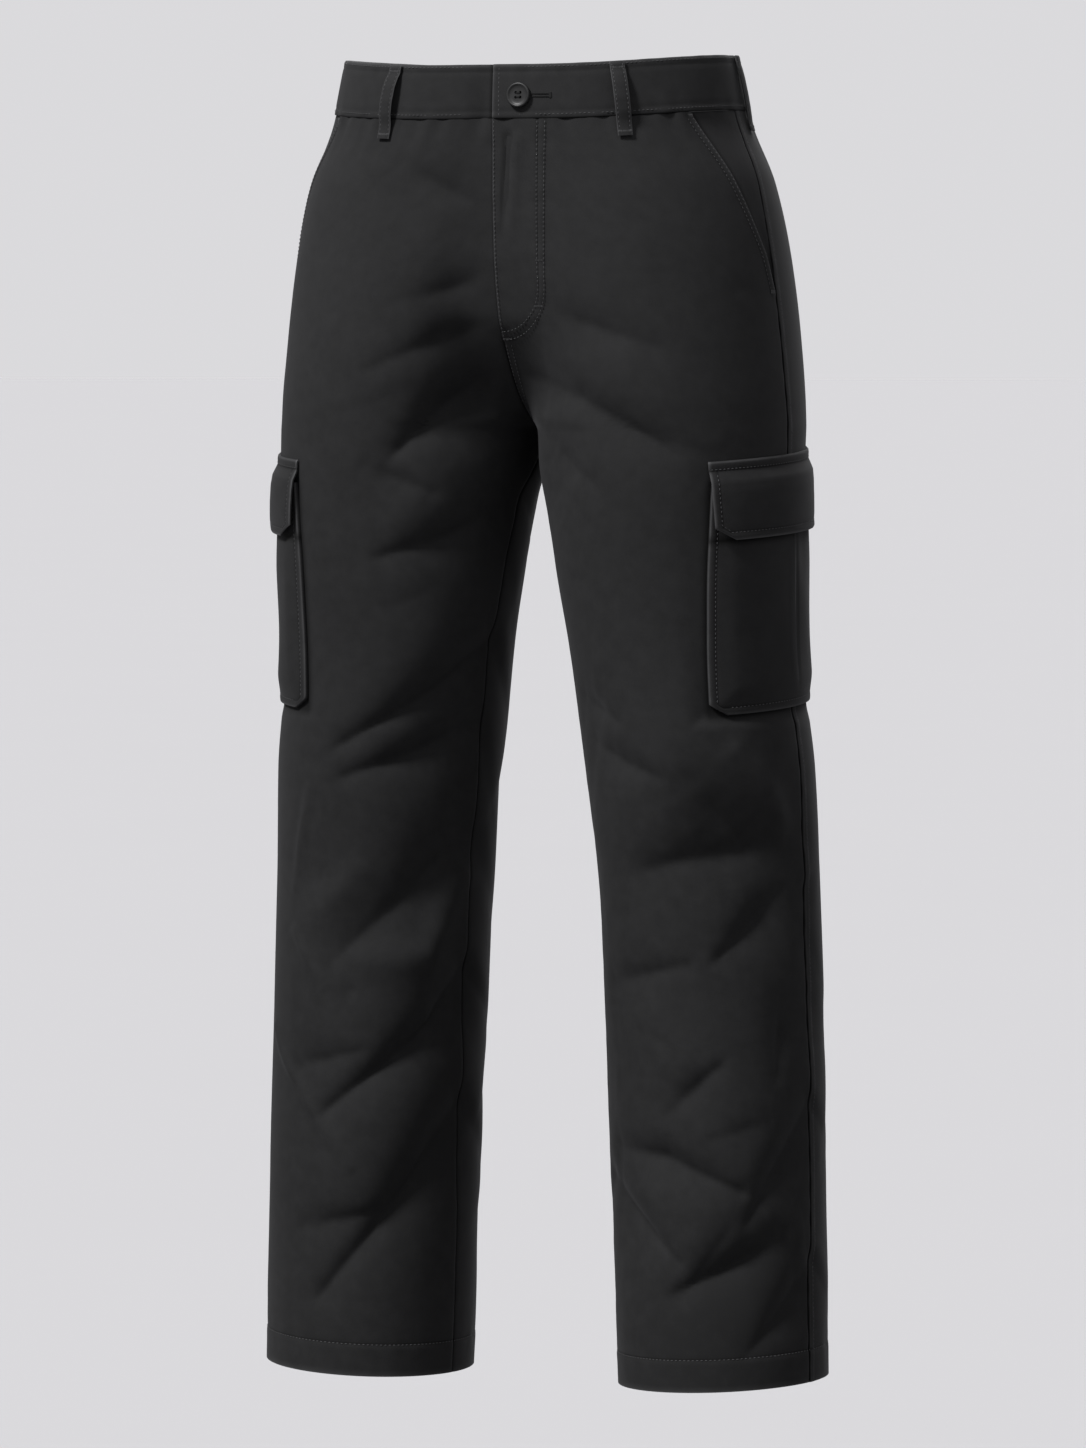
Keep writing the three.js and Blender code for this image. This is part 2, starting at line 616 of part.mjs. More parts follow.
// Four-hole button with a raised rim, its axis along the cloth's normal
function button(name) {
  const { radius, rim, thick, off_band } = BUTTON;
  const profile = [
    [0, 0], [radius - 1, 0], [radius, 0.9], [radius, thick - 0.8], [radius - 0.7, thick],
    [radius - rim, thick], [radius - rim - 1, thick - 1], [0, thick - 1.2],
  ].map(([r, h]) => new THREE.Vector2(r, h));
  const toSolid = (geometry) => {
    geometry.deleteAttribute("normal");
    geometry.deleteAttribute("uv");
    const merged = BufferGeometryUtils.mergeVertices(geometry, 1e-4);
    return new wasm.Manifold(
      new wasm.Mesh({
        numProp: 3,
        vertProperties: new Float32Array(merged.attributes.position.array),
        triVerts: new Uint32Array(merged.index.array),
      }),
    );
  };
  let disc = toSolid(new THREE.LatheGeometry(profile, ROUND_STEPS));
  const { count, radius: bore, ring, steps: bore_steps } = BUTTON_HOLES;
  for (let i = 0; i < count; i += 1) {
    const angle = (i + 0.5) * ((2 * Math.PI) / count);
    const hole = new THREE.CylinderGeometry(bore, bore, 3 * thick, bore_steps);
    hole.translate(ring * Math.cos(angle), 0, ring * Math.sin(angle));
    disc = disc.subtract(toSolid(hole));
  }
  const made = disc.getMesh();
  const geometry = new THREE.BufferGeometry();
  geometry.setAttribute("position", new THREE.BufferAttribute(made.vertProperties, 3));
  geometry.setIndex(new THREE.BufferAttribute(made.triVerts, 1));
  const mesh = new THREE.Mesh(geometry, HORN);
  mesh.name = name;
  const c = section(-BAND_HEIGHT / 2).front.total - BUTTON.x;
  const z = BUTTON.z + WAIST_DIP.front;
  const seat = cloth(1, z, c, BAND.out + off_band);
  const normal = cloth(1, z, c, 5).sub(cloth(1, z, c, 0)).normalize();
  mesh.position.copy(seat);
  mesh.quaternion.setFromUnitVectors(new THREE.Vector3(0, 1, 0), normal);
  return mesh;
}

// Places of the belt loops, as distances forward of the side point
const frontLoopAt = (side) => (z) => {
  const { from_centre_top, from_centre_end } = FRONT_LOOP[side];
  return section(z).front.total - mix(from_centre_top, from_centre_end, clamp(-z / LOOP.length));
};
const sideLoopAt = () => -LOOP.behind_side;

const trousers = new THREE.Group();
trousers.name = "cargo_trousers";
trousers.add(
  waistband("waistband"),
  flyShield("fly_shield"),
  button("button"),
  backLoop("belt_loop_back"),
);
[["left", 1], ["right", -1]].forEach(([side, leg]) => {
  trousers.add(
    front("front_" + side, leg),
    back("back_" + side, leg),
    hipFacing("hip_facing_" + side, leg),
    cargoPocket("cargo_pocket_" + side, leg),
    cargoFlap("cargo_flap_" + side, leg),
    beltLoop("belt_loop_front_" + side, leg, frontLoopAt(side)),
    beltLoop("belt_loop_side_" + side, leg, sideLoopAt),
  );
});

export default trousers;
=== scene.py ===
import math

import bmesh
import bpy
import numpy as np
from mathutils import Matrix, Vector


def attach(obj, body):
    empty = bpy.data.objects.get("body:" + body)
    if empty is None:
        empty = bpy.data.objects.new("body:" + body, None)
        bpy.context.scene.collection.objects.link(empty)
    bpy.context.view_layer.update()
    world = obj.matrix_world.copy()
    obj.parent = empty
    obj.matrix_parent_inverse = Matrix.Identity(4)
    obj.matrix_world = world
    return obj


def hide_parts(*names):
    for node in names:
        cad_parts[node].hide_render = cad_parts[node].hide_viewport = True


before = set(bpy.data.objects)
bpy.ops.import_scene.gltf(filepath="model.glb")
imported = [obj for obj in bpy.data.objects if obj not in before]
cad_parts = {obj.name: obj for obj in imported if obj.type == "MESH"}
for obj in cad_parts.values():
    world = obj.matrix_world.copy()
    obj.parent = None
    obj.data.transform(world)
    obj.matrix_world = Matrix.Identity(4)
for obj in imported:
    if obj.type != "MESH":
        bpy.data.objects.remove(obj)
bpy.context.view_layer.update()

# Lengths are in millimetres up to the last step, which places them in metres.
MM = 0.001

# The camera stands to the wearer's left of the front, a little below the waist.
CAMERA_TURN = math.radians(20)
CAMERA_FAR = 5600
CAMERA_HEIGHT = -188
AIM_HEIGHT = -526
CAMERA_ROLL = math.radians(-0.17)
VIEW_HEIGHT = 1144
SENSOR = 36

# Sizes of the garment, as in the solids
CROTCH_Z = -294
HEM_Z = -1035
HEM_DEPTH = 25
BAND_HEIGHT = 43
SEAM_GAP = 0.3
WAIST_DIP = {"front": 10, "side": 2, "back": 5}
WAIST_DIP_ENDS = -200
HEM_DIP = 7
HEM_DIP_STARTS = -700
RISE_EDGE = 0.16
THIGH_EDGE = 0.7
INSEAM_FORWARD = 24
INSEAM_SETTLES = 60
FLY_WIDTH = 44
FLY_BOTTOM = -222
SLANT = {"top": 52, "knee_z": -156, "knee": 7, "end": -192}
POCKET = {"half": 81, "top": -329, "bottom": -508, "chamfer": 14, "chamfer_up": 9}
FLAP = {"half": 85, "top": -311, "down": 61, "taper": 7, "chamfer": 16, "chamfer_up": 10}
POCKET_TILT = -0.06
POCKET_SEAM_C = 19
LOOP_WIDTH = 11.5
BUTTON = {"x": 22.6, "z": -34.5, "radius": 9.7, "thick": 3.4, "hole": 1.15, "ring": 2.6}

CLOTH = 0.9
TRIM_CLOTH = 1.6
STITCH_INSET = 6
STITCH_PITCH = 3.5


def table(columns, rows):
    return {name: np.array(values, float) for name, values in zip(columns.split(), zip(*rows))}


# Level sections of one half: the widest point at the side, the points furthest forward and back,
# the centre line or leg's inner side, the y of the centre seam, and whether the leg is closed.
SECTIONS = table(
    "z side_x side_y front_x front_y back_x back_y inner_x rise_front rise_back closed",
    [
        (5, 156, 0, 35, -108, 40, 105, 0, -107, 105, 0),
        (-50, 168, 0, 45, -112, 50, 113, 0, -110, 111, 0),
        (-100, 187, 1, 65, -115, 65, 124, 0, -110, 118, 0),
        (-150, 197.2, 2, 80, -117, 80, 132, 0, -108, 122, 0),
        (-200, 203.8, 2, 92, -118, 90, 136, 0, -99, 118, 0.05),
        (-235, 207.2, 2, 100, -118, 97, 134, 0, -79, 104, 0.2),
        (-265, 210, 1, 105, -117, 102, 129, 0, -53, 80, 0.45),
        (-285, 211.3, 1, 108, -115, 105, 123, 0, -22, 45, 0.8),
        (-294, 211.8, 0, 109, -114, 106, 120, 1.2, 12, 12, 1),
        (-320, 211.9, -2, 110, -113, 108, 112, 3, 8, 8, 1),
        (-350, 211, -3, 112, -111, 110, 105, 9, 2, 2, 1),
        (-400, 209.8, -3, 116, -106, 115, 101, 18, -2, -2, 1),
        (-450, 209.8, -1, 120, -100, 120, 98, 27, -1, -1, 1),
        (-500, 212, 1, 125, -94, 125, 98, 34.5, 1, 1, 1),
        (-560, 217.8, 4, 130, -88, 130, 96, 42, 4, 4, 1),
        (-650, 221.2, 8, 135, -81.5, 135, 96.5, 50.5, 8, 8, 1),
        (-750, 224.6, 8, 139.5, -79, 139.5, 95, 56, 8, 8, 1),
        (-850, 227.2, 6, 143, -81, 143, 93, 60, 6, 6, 1),
        (-950, 229.2, 4, 146, -82, 146, 90, 64, 4, 4, 1),
        (-1045, 231.2, 1, 149, -85, 149, 87, 68, 1, 1, 1),
    ],
)
SIDE_SEAM = table(
    "z forward",
    [(5, 14), (-50, 15), (-150, 22), (-300, 20), (-520, 17), (-800, 16), (-1045, 25)],
)

# Folds of each leg (1 the wearer's left, -1 the right), from a through m to b. Turn goes round
# the leg in degrees: 0 outer side, -90 front, 90 back, 180 inner side. A ridge's depth is negative.
FOLD_COLUMNS = "leg turn_a z_a turn_m z_m turn_b z_b width depth"
FOLDS = table(
    FOLD_COLUMNS,
    [
        (-1, -91, -74, -106, -95, -120, -115, 16, 2),
        (-1, -96, -186, -112, -178, -126, -167, 18, 2.5),
        (-1, -129, -201, -113, -215, -92, -238, 20, 3.2),
        (-1, -138, -238, -118, -271, -104, -303, 22, 7.5),
        (-1, -93, -316, -106, -327, -119, -338, 16, 2.5),
        (-1, -150, -351, -126, -373, -101, -387, 19, 4.5),
        (-1, -160, -453, -133, -486, -86, -535, 21, 6.5),
        (-1, -156, -515, -123, -540, -90, -560, 21, 6),
        (-1, -149, -603, -120, -650, -90, -697, 34, 6),
        (-1, -98, -639, -85, -660, -72, -681, 15, -3),
        (-1, -156, -642, -135, -707, -90, -713, 15, -3.5),
        (-1, -156, -716, -138, -756, -84, -823, 21, 7.5),
        (-1, -64, -790, -81, -785, -98, -780, 14, 3),
        (-1, -156, -820, -130, -874, -83, -966, 24, 7.5),
        (-1, -72, -915, -90, -910, -109, -905, 15, 3.5),
        (-1, 160, -318, 128, -326, 96, -322, 20, 5),
        (-1, 150, -366, 120, -392, 84, -402, 20, 4),
        (-1, 40, -560, 74, -590, 118, -606, 19, 5),
        (-1, 152, -560, 118, -622, 70, -650, 20, 6),
        (-1, 60, -690, 100, -706, 142, -690, 18, 5),
        (-1, 30, -742, 66, -776, 108, -800, 19, 5.5),
        (-1, 150, -800, 120, -846, 76, -868, 20, 6),
        (-1, 36, -880, 70, -930, 110, -960, 20, 5),
        (-1, 146, -900, 128, -950, 100, -985, 18, 4),
        (1, -108, -193, -90, -208, -73, -223, 22, 3),
        (1, -137, -242, -104, -263, -61, -315, 19, 5),
        (1, -126, -300, -117, -313, -108, -326, 20, 3),
        (1, -133, -495, -122, -503, -112, -512, 16, 3),
        (1, -130, -530, -112, -543, -94, -556, 16, 4),
        (1, -27, -598, -62, -609, -99, -625, 42, 10.5),
        (1, -70, -560, -60, -585, -50, -606, 28, 3.5),
        (1, -54, -541, -31, -590, -12, -639, 15, -4),
        (1, -31, -648, -50, -672, -68, -697, 17, 5),
        (1, -134, -717, -110, -711, -86, -704, 15, 3),
        (1, -98, -814, -85, -799, -72, -784, 16, 4),
        (1, -35, -735, -37, -762, -39, -789, 16, 3),
        (1, -134, -844, -98, -850, -61, -878, 16, 5.5),
        (1, -145, -868, -112, -906, -94, -930, 16, 4.5),
        (1, -39, -912, -66, -933, -94, -954, 20, 7),
        (1, -16, -814, -46, -872, -57, -900, 16, 4),
        (1, -16, -937, -36, -970, -57, -1002, 17, 4),
        (1, 156, -322, 124, -330, 92, -318, 20, 5),
        (1, 146, -372, 112, -400, 78, -396, 20, 4),
        (1, 44, -552, 80, -584, 122, -592, 19, 5),
        (1, 156, -548, 124, -604, 80, -640, 20, 6),
        (1, 40, -668, 84, -696, 132, -702, 18, 5),
        (1, 156, -730, 118, -770, 70, -786, 20, 6),
        (1, 34, -800, 72, -842, 112, -852, 19, 5),
        (1, 150, -858, 118, -900, 80, -930, 20, 5.5),
        (1, 40, -930, 66, -962, 96, -992, 17, 4),
    ],
)
# Finer creases, which the solids leave out
CREASES = table(
    FOLD_COLUMNS,
    [
        (-1, -68, -574, -62, -615, -57, -657, 5.5, -3.2),
        (-1, -57, -687, -68, -710, -79, -733, 5, -4.2),
        (-1, -35, -768, -61, -805, -98, -872, 5, -4.4),
        (-1, -94, -728, -96, -732, -100, -736, 9, 1.6),
        (-1, -79, -640, -79, -647, -80, -655, 10, 1.8),
        (-1, -149, -953, -152, -950, -156, -946, 11, 1.5),
        (-1, -104, -255, -92, -268, -80, -276, 9, 1),
        (-1, -126, -410, -112, -424, -98, -430, 10, 1),
        (1, -111, -68, -118, -104, -122, -123, 8, 1.4),
        (1, -126, -400, -124, -403, -120, -408, 12, 1.4),
        (1, -94, -639, -83, -671, -72, -704, 8, 1.8),
        (1, -46, -825, -60, -832, -75, -838, 10, 2.6),
        (1, -61, -893, -78, -928, -94, -963, 10, 2.4),
        (1, -34, -178, -32, -182, -31, -186, 10, 1),
        (1, -120, -752, -104, -760, -90, -772, 9, 1.2),
        (1, 60, -610, 84, -622, 104, -640, 8, 1.6),
        (-1, 58, -520, 80, -534, 100, -540, 9, 1.6),
        (-1, 50, -826, 74, -842, 96, -846, 8, 1.6),
        (1, 104, -820, 88, -834, 70, -838, 8, 1.6),
    ],
)
UNROLLED_RADIUS = 95
# No folds under a cargo pocket: degrees round the leg, and heights
POCKET_CALM = {"turn": -13, "half": 50, "turn_over": 12, "z": -411, "high": 98, "z_over": 14}
# Across a fold, in its widths: the crisp trough lies below the fold's line, with a steep slope
# over it and a long gentle one under it, and the cloth around both swells a little.
FOLD_DROP = 0.28
FOLD_ABOVE = 0.78
FOLD_BELOW = 2.0
FOLD_ROUND = 0.1
FOLD_GAIN = 2.4
SWELL = {"share": 0.34, "reach": 3.0}
# Ridges, and folds behind, take this share of the gain
RIDGE_SHARE = 0.55
BACK_SHARE = 0.65
# How far the lower legs stand outside the solids' sections
LEG_EASE = {"most": 1.8, "from": -440, "over": 120}
# Along a fold, its width and depth fall towards its second end
ROOT_WIDTH = 1.4
TIP_WIDTH = 0.5
TIP_DEPTH = 0.4
ROOT_DEPTH = 0.5
FOLD_END = 0.55


def mix(a, b, t):
    return a + (b - a) * t


def smooth(t):
    t = np.clip(t, 0, 1)
    return t * t * (3 - 2 * t)


def at_height(rows, column, z):
    """Smooth, never overshooting value of a table's column at height z."""
    x, y = -rows["z"], rows[column]
    rise = np.diff(y) / np.diff(x)
    both = rise[:-1] * rise[1:]
    inner = np.where(both > 0, 2 * both / np.where(both > 0, rise[:-1] + rise[1:], 1), 0)
    slope = np.concatenate([rise[:1], inner, rise[-1:]])
    k = np.clip(np.searchsorted(x, -z) - 1, 0, len(x) - 2)
    h = x[k + 1] - x[k]
    t = (-z - x[k]) / h
    return (
        (2 * t**3 - 3 * t**2 + 1) * y[k]
        + (t**3 - 2 * t**2 + t) * h * slope[k]
        + (3 * t**2 - 2 * t**3) * y[k + 1]
        + (t**3 - t**2) * h * slope[k + 1]
    )


# The sections, sampled at even heights and at even steps along each branch
LEVEL_STEP = 2
LEVELS = np.arange(-1047, 5.1, LEVEL_STEP)
CURVE_STEPS = 28
BRANCH_POINTS = 129
ROUND = 0.5523


def bezier(a, b, c, d):
    t = np.linspace(0, 1, CURVE_STEPS + 1)[None, :, None]
    a, b, c, d = (p[:, None, :] for p in (a, b, c, d))
    return (1 - t) ** 3 * a + 3 * (1 - t) ** 2 * t * b + 3 * (1 - t) * t * t * c + t**3 * d


def branches(apex_x, apex_y, end_y):
    value = {name: at_height(SECTIONS, name, LEVELS) for name in SECTIONS}
    x, y = value[apex_x], value[apex_y]
    side_x, side_y, end_x, closed = (value[n] for n in ("side_x", "side_y", "inner_x", "closed"))
    end = value[end_y]
    point = lambda u, v: np.stack([u, v], axis=1)
    first = bezier(
        point(side_x, side_y),
        point(side_x, mix(side_y, y, ROUND)),
        point(mix(x, side_x, ROUND), y),
        point(x, y),
    )
    second = bezier(
        point(x, y),
        point(mix(x, end_x, ROUND), y),
        point(mix(end_x, x, (1 - closed) * ROUND), mix(end, y, closed * ROUND)),
        point(end_x, end),
    )
    points = np.concatenate([first, second[:, 1:]], axis=1)
    gaps = np.linalg.norm(np.diff(points, axis=1), axis=2)
    run = np.concatenate([np.zeros((len(LEVELS), 1)), np.cumsum(gaps, axis=1)], axis=1)
    totals = run[:, -1]
    even = np.empty((len(LEVELS), BRANCH_POINTS, 2))
    for i, total in enumerate(totals):
        places = np.linspace(0, total, BRANCH_POINTS)
        for axis in (0, 1):
            even[i, :, axis] = np.interp(places, run[i], points[i, :, axis])
    return even, totals


FRONT, FRONT_TOTALS = branches("front_x", "front_y", "rise_front")
BACK, BACK_TOTALS = branches("back_x", "back_y", "rise_back")


def total_at(totals, z):
    return np.interp(z, LEVELS, totals)


def branch_point(points, totals, z, length):
    row = np.clip((z - LEVELS[0]) / LEVEL_STEP, 0, len(LEVELS) - 1.001)
    i = row.astype(int)
    t = (row - i)[..., None]
    place = np.clip(length / total_at(totals, z), 0, 1) * (BRANCH_POINTS - 1)
    j = np.minimum(place.astype(int), BRANCH_POINTS - 2)
    s = (place - j)[..., None]
    low = mix(points[i, j], points[i, j + 1], s)
    high = mix(points[i + 1, j], points[i + 1, j + 1], s)
    return mix(low, high, t)


def section_point(z, c):
    """Point of the section at height z, at the distance c forward of its side point."""
    ahead, behind = total_at(FRONT_TOTALS, z), total_at(BACK_TOTALS, z)
    closed = z <= CROTCH_Z
    c = np.where(closed & (c > ahead), c - ahead - behind, c)
    c = np.where(closed & (c < -behind), c + ahead + behind, c)
    front = branch_point(FRONT, FRONT_TOTALS, z, np.maximum(c, 0))
    back = branch_point(BACK, BACK_TOTALS, z, np.maximum(-c, 0))
    return np.where((c >= 0)[..., None], front, back)


def turn_of(p, z):
    torso = np.clip((z - CROTCH_Z) / -CROTCH_Z, 0, 1)
    middle = (at_height(SECTIONS, "side_x", z) + at_height(SECTIONS, "inner_x", z)) / 2
    centre_y = (at_height(SECTIONS, "front_y", z) + at_height(SECTIONS, "back_y", z)) / 2
    return np.degrees(np.arctan2(p[..., 1] - centre_y, p[..., 0] - mix(middle, 60, torso)))


def area_under(heights, places):
    return float(((heights[1:] + heights[:-1]) / 2 * np.diff(places)).sum())


def turn_distance(a, b):
    return (a - b + 540) % 360 - 180


def fold_depth(rows, leg, turn, z):
    arc = math.radians(1) * UNROLLED_RADIUS
    depth = np.zeros_like(z)
    for k in np.flatnonzero(rows["leg"] == leg):
        fold = {name: column[k] for name, column in rows.items()}
        nearest = np.full_like(z, np.inf)
        signed, run, past = np.zeros_like(z), np.zeros_like(z), np.zeros_like(z)
        for i, (start, end) in enumerate((("a", "m"), ("m", "b"))):
            dx = turn_distance(fold["turn_" + end], fold["turn_" + start]) * arc
            dz = fold["z_" + end] - fold["z_" + start]
            px = turn_distance(turn, fold["turn_" + start]) * arc
            pz = z - fold["z_" + start]
            length = math.hypot(dx, dz)
            free = (px * dx + pz * dz) / length**2
            t = np.clip(free, 0, 1)
            away = np.hypot(px - t * dx, pz - t * dz)
            side = (pz * dx - px * dz) / length * (1 if dx > 0 else -1)
            beyond = (free < 0) if i == 0 else (free > 1)
            reach = np.where(beyond | (free == t), np.abs(side), away)
            closer = away < nearest
            signed = np.where(closer, np.copysign(reach, side), signed)
            past = np.where(closer, np.where(beyond, np.abs(free - t) * length, 0), past)
            run = np.where(closer, (i + t) / 2, run)
            nearest = np.minimum(nearest, away)
        tip = smooth((run - 0.5) * 2)
        width = fold["width"] * mix(ROOT_WIDTH, 1, smooth(run * 2)) * mix(1, TIP_WIDTH, tip)
        if fold["depth"] < 0:
            shape = RIDGE_SHARE * np.exp(-((signed / fold["width"]) ** 2))
        else:
            away = signed / width + FOLD_DROP
            reach = np.where(away > 0, FOLD_ABOVE, FOLD_BELOW)
            shape = np.exp(-(np.hypot(away, FOLD_ROUND) - FOLD_ROUND) / reach)
            shape = shape - SWELL["share"] * np.exp(-((away / SWELL["reach"]) ** 2))
        taper = mix(ROOT_DEPTH, 1, smooth(run * 2.5)) * mix(1, TIP_DEPTH, tip)
        fade = np.exp(-((past / (fold["width"] * FOLD_END)) ** 2))
        shown = BACK_SHARE if fold["turn_m"] > 0 else 1
        depth += shown * fold["depth"] * taper * fade * shape
    return depth


def drape(leg, p, z):
    """How far the cloth lies inside its plain section."""
    turn = turn_of(p, z)
    depth = FOLD_GAIN * fold_depth(FOLDS, leg, turn, z) + fold_depth(CREASES, leg, turn, z)
    depth = depth - LEG_EASE["most"] * smooth((LEG_EASE["from"] - z) / LEG_EASE["over"])
    centre = mix(smooth(p[..., 0] / 30), 1, smooth((CROTCH_Z - z) / 60))
    waist = smooth((-50 - z) / 50)
    hem = mix(0.25, 1, smooth((z - HEM_Z) / 60))
    calm = POCKET_CALM
    beside = smooth((np.abs(turn - calm["turn"]) - calm["half"]) / calm["turn_over"])
    above = smooth((np.abs(z - calm["z"]) - calm["high"]) / calm["z_over"])
    return depth * centre * waist * hem * np.maximum(beside, above)


def dip_at(p, z):
    side_x, side_y = at_height(SECTIONS, "side_x", z), at_height(SECTIONS, "side_y", z)
    forward = (p[..., 1] - side_y) / (at_height(SECTIONS, "front_y", z) - side_y)
    backward = (p[..., 1] - side_y) / (at_height(SECTIONS, "back_y", z) - side_y)
    side = WAIST_DIP["side"]
    waist = side + (WAIST_DIP["front"] - side) * np.clip(forward, 0, 1) ** 2
    waist = waist + (WAIST_DIP["back"] - side) * np.clip(backward, 0, 1) ** 2
    inward = (side_x - p[..., 0]) / (side_x - at_height(SECTIONS, "inner_x", z))
    return waist * smooth((z - WAIST_DIP_ENDS) / -WAIST_DIP_ENDS) + HEM_DIP * inward * smooth(
        (HEM_DIP_STARTS - z) / (HEM_DIP_STARTS - HEM_Z)
    )


def cloth_point(leg, z, c):
    """A point of the cloth's outer face, in the left half's own frame."""
    z, c = np.broadcast_arrays(np.asarray(z, float), np.asarray(c, float))
    p = section_point(z, c)
    step = 2
    run = section_point(z, c + step) - section_point(z, c - step)
    out = np.stack([-run[..., 1], run[..., 0]], axis=-1)
    out /= np.linalg.norm(out, axis=-1, keepdims=True)
    p = p - out * drape(leg, p, z)[..., None]
    edge = np.where(z > CROTCH_Z, RISE_EDGE, THIGH_EDGE)
    return np.stack([np.maximum(p[..., 0], edge), p[..., 1], z - dip_at(p, z)], axis=-1)


def cloth(leg, z, c, out):
    """The cloth's point moved out along its normal."""
    z, c, out = np.broadcast_arrays(*(np.asarray(v, float) for v in (z, c, out)))
    reach = 3
    opened = z > CROTCH_Z
    most = np.where(opened, total_at(FRONT_TOTALS, z), np.inf)
    least = np.where(opened, -total_at(BACK_TOTALS, z), -np.inf)
    c0, c1 = np.maximum(c - reach, least), np.minimum(c + reach, most)
    across = cloth_point(leg, z, c1) - cloth_point(leg, z, c0)
    top = np.minimum(z + reach, 4)
    up = cloth_point(leg, top, c) - cloth_point(leg, top - 2 * reach, c)
    normal = np.cross(up, across)
    ends = (c1 == most) | (c0 == least)
    normal[..., 0] = np.where(ends, 0, normal[..., 0])
    normal /= np.linalg.norm(normal, axis=-1, keepdims=True)
    return cloth_point(leg, z, c) + normal * out[..., None]


def side_seam(z):
    return at_height(SIDE_SEAM, "forward", z)


def inseam(z):
    return total_at(FRONT_TOTALS, z) - INSEAM_FORWARD * smooth((CROTCH_Z - z) / INSEAM_SETTLES)


def slant_mouth(z):
    low = SLANT["knee"] * np.clip((z - SLANT["end"]) / (SLANT["knee_z"] - SLANT["end"]), 0, 1)
    rise = np.clip((z - SLANT["knee_z"]) / (-BAND_HEIGHT - SLANT["knee_z"]), 0, None)
    return low + (SLANT["top"] - SLANT["knee"]) * rise


class Socket:
    """A shader value that can be used in arithmetic; each operation adds its Math node."""

    def __init__(self, material, link):
        self.material, self.link = material, link

    def math(self, operation, *others):
        return self.material.node("ShaderNodeMath", {"operation": operation}, self, *others)

    def __add__(self, other):
        return self.math("ADD", other)

    def __sub__(self, other):
        return self.math("SUBTRACT", other)

    def __mul__(self, other):
        return self.math("MULTIPLY", other)

    def __rsub__(self, other):
        return self.material.node("ShaderNodeMath", {"operation": "SUBTRACT"}, other, self)

    __radd__ = __add__
    __rmul__ = __mul__

    def sine(self):
        return self.math("SINE")

    def clamp(self):
        return self.material.node("ShaderNodeClamp", {}, self)


class Finish:
    """A material being made: node() adds a node, from its type, settings and socket values."""

    def __init__(self, name):
        self.data = bpy.data.materials.new(name)
        self.data.use_nodes = True
        self.tree = self.data.node_tree
        self.shader = self.tree.nodes["Principled BSDF"]

    def node(self, kind, settings, *values, output=0, **named):
        made = self.tree.nodes.new(kind)
        for key, value in settings.items():
            setattr(made, key, value)
        for key, value in [*enumerate(values), *named.items()]:
            socket = made.inputs[key.replace("_", " ") if isinstance(key, str) else key]
            self.feed(socket, value)
        return Socket(self, made.outputs[output])

    def feed(self, socket, value):
        if isinstance(value, Socket):
            self.tree.links.new(value.link, socket)
        else:
            socket.default_value = value

    def set(self, **named):
        for key, value in named.items():
            self.feed(self.shader.inputs[key.replace("_", " ")], value)

    def blend(self, factor, first, second):
        made = self.tree.nodes.new("ShaderNodeMix")
        made.data_type = "RGBA"
        for socket, value in ((0, factor), (6, first), (7, second)):
            self.feed(made.inputs[socket], value)
        return Socket(self, made.outputs[2])

    def noise(self, where, scale, detail=3.0, roughness=0.55):
        return self.node(
            "ShaderNodeTexNoise", {}, Vector=where, Scale=scale, Detail=detail, Roughness=roughness
        )


def grey(value, blue=1.03):
    return (value, value, value * blue, 1)


TWILL_PITCH = 0.0011
TWILL_SLOPE = 0.8
# Sizes of the cloth's mottle, as noise scales per metre, and how strongly it shows
GRAIN = {"slub": 160, "threads": 900, "patches": 5, "fine": 85}
MOTTLE = {"gain": 2.8, "base": 0.9}
SEAM_SHADE = 0.0006
# The cloth is toned darker down the legs, in place of shade that the lights don't give.
# "from" is in metres below the waist, "rate" per metre, and "most" a share of the tone.
LEG_TONE = {"from": 0.42, "rate": 2.6, "most": 0.36}


def twill(name, dark, light, worn_highlit_grey, bump=0.35):
    """Black cotton twill: diagonal weave and mottle. Its per-point attribute makes it paler, as edge wear with
    a painted highlight, or darker, as painted shade.
    """
    f = Finish(name)
    uv = f.node("ShaderNodeUVMap", {"uv_map": "cloth"})
    across = f.node("ShaderNodeSeparateXYZ", {}, uv, output=0)
    along = f.node("ShaderNodeSeparateXYZ", {}, uv, output=1)
    slub = f.noise(uv, GRAIN["slub"], 2.0)
    phase = (across + along * TWILL_SLOPE) * (2 * math.pi / TWILL_PITCH) + slub * 2.4
    ribs = phase.sine() * 0.5 + 0.5
    threads = f.noise(uv, GRAIN["threads"], 2.0)
    patches = f.noise(uv, GRAIN["patches"], 4.0, 0.6)
    fine = f.noise(uv, GRAIN["fine"], 4.0, 0.65)
    wear_and_painted_light = f.node("ShaderNodeAttribute", {"attribute_name": "wear_and_painted_light"}, output=2)
    height = f.node("ShaderNodeSeparateXYZ", {}, f.node("ShaderNodeTexCoord", {}, output=3), output=2)
    lower = ((height * -1 - LEG_TONE["from"]) * LEG_TONE["rate"]).clamp() * LEG_TONE["most"]
    mottle = patches * 0.4 + fine * 0.35 + threads * 0.25
    tone = mottle * MOTTLE["gain"] - MOTTLE["base"] - lower
    cloth_colour = f.blend(tone.clamp(), grey(dark), grey(light))
    # Paler edges are real wear with a painted highlight; negative values paint shade in seams, grooves and
    # hollows.
    worn_and_highlit = (wear_and_painted_light * (fine * 0.9 + 0.45)).clamp()
    sunk = (wear_and_painted_light * -1).clamp()
    raised = ribs * 0.5 + threads * 0.3 + slub * 0.2
    f.set(
        Base_Color=f.blend(sunk, f.blend(worn_and_highlit, cloth_colour, grey(worn_highlit_grey)), grey(SEAM_SHADE)),
        Roughness=0.78 + 0.12 * fine,
        Normal=f.node("ShaderNodeBump", {}, Strength=bump, Distance=0.0002, Height=raised),
        Sheen_Weight=0.02,
        Sheen_Roughness=0.4,
        Sheen_Tint=(0.9, 0.9, 0.95, 1),
        Specular_IOR_Level=0.055,
    )
    return f.data


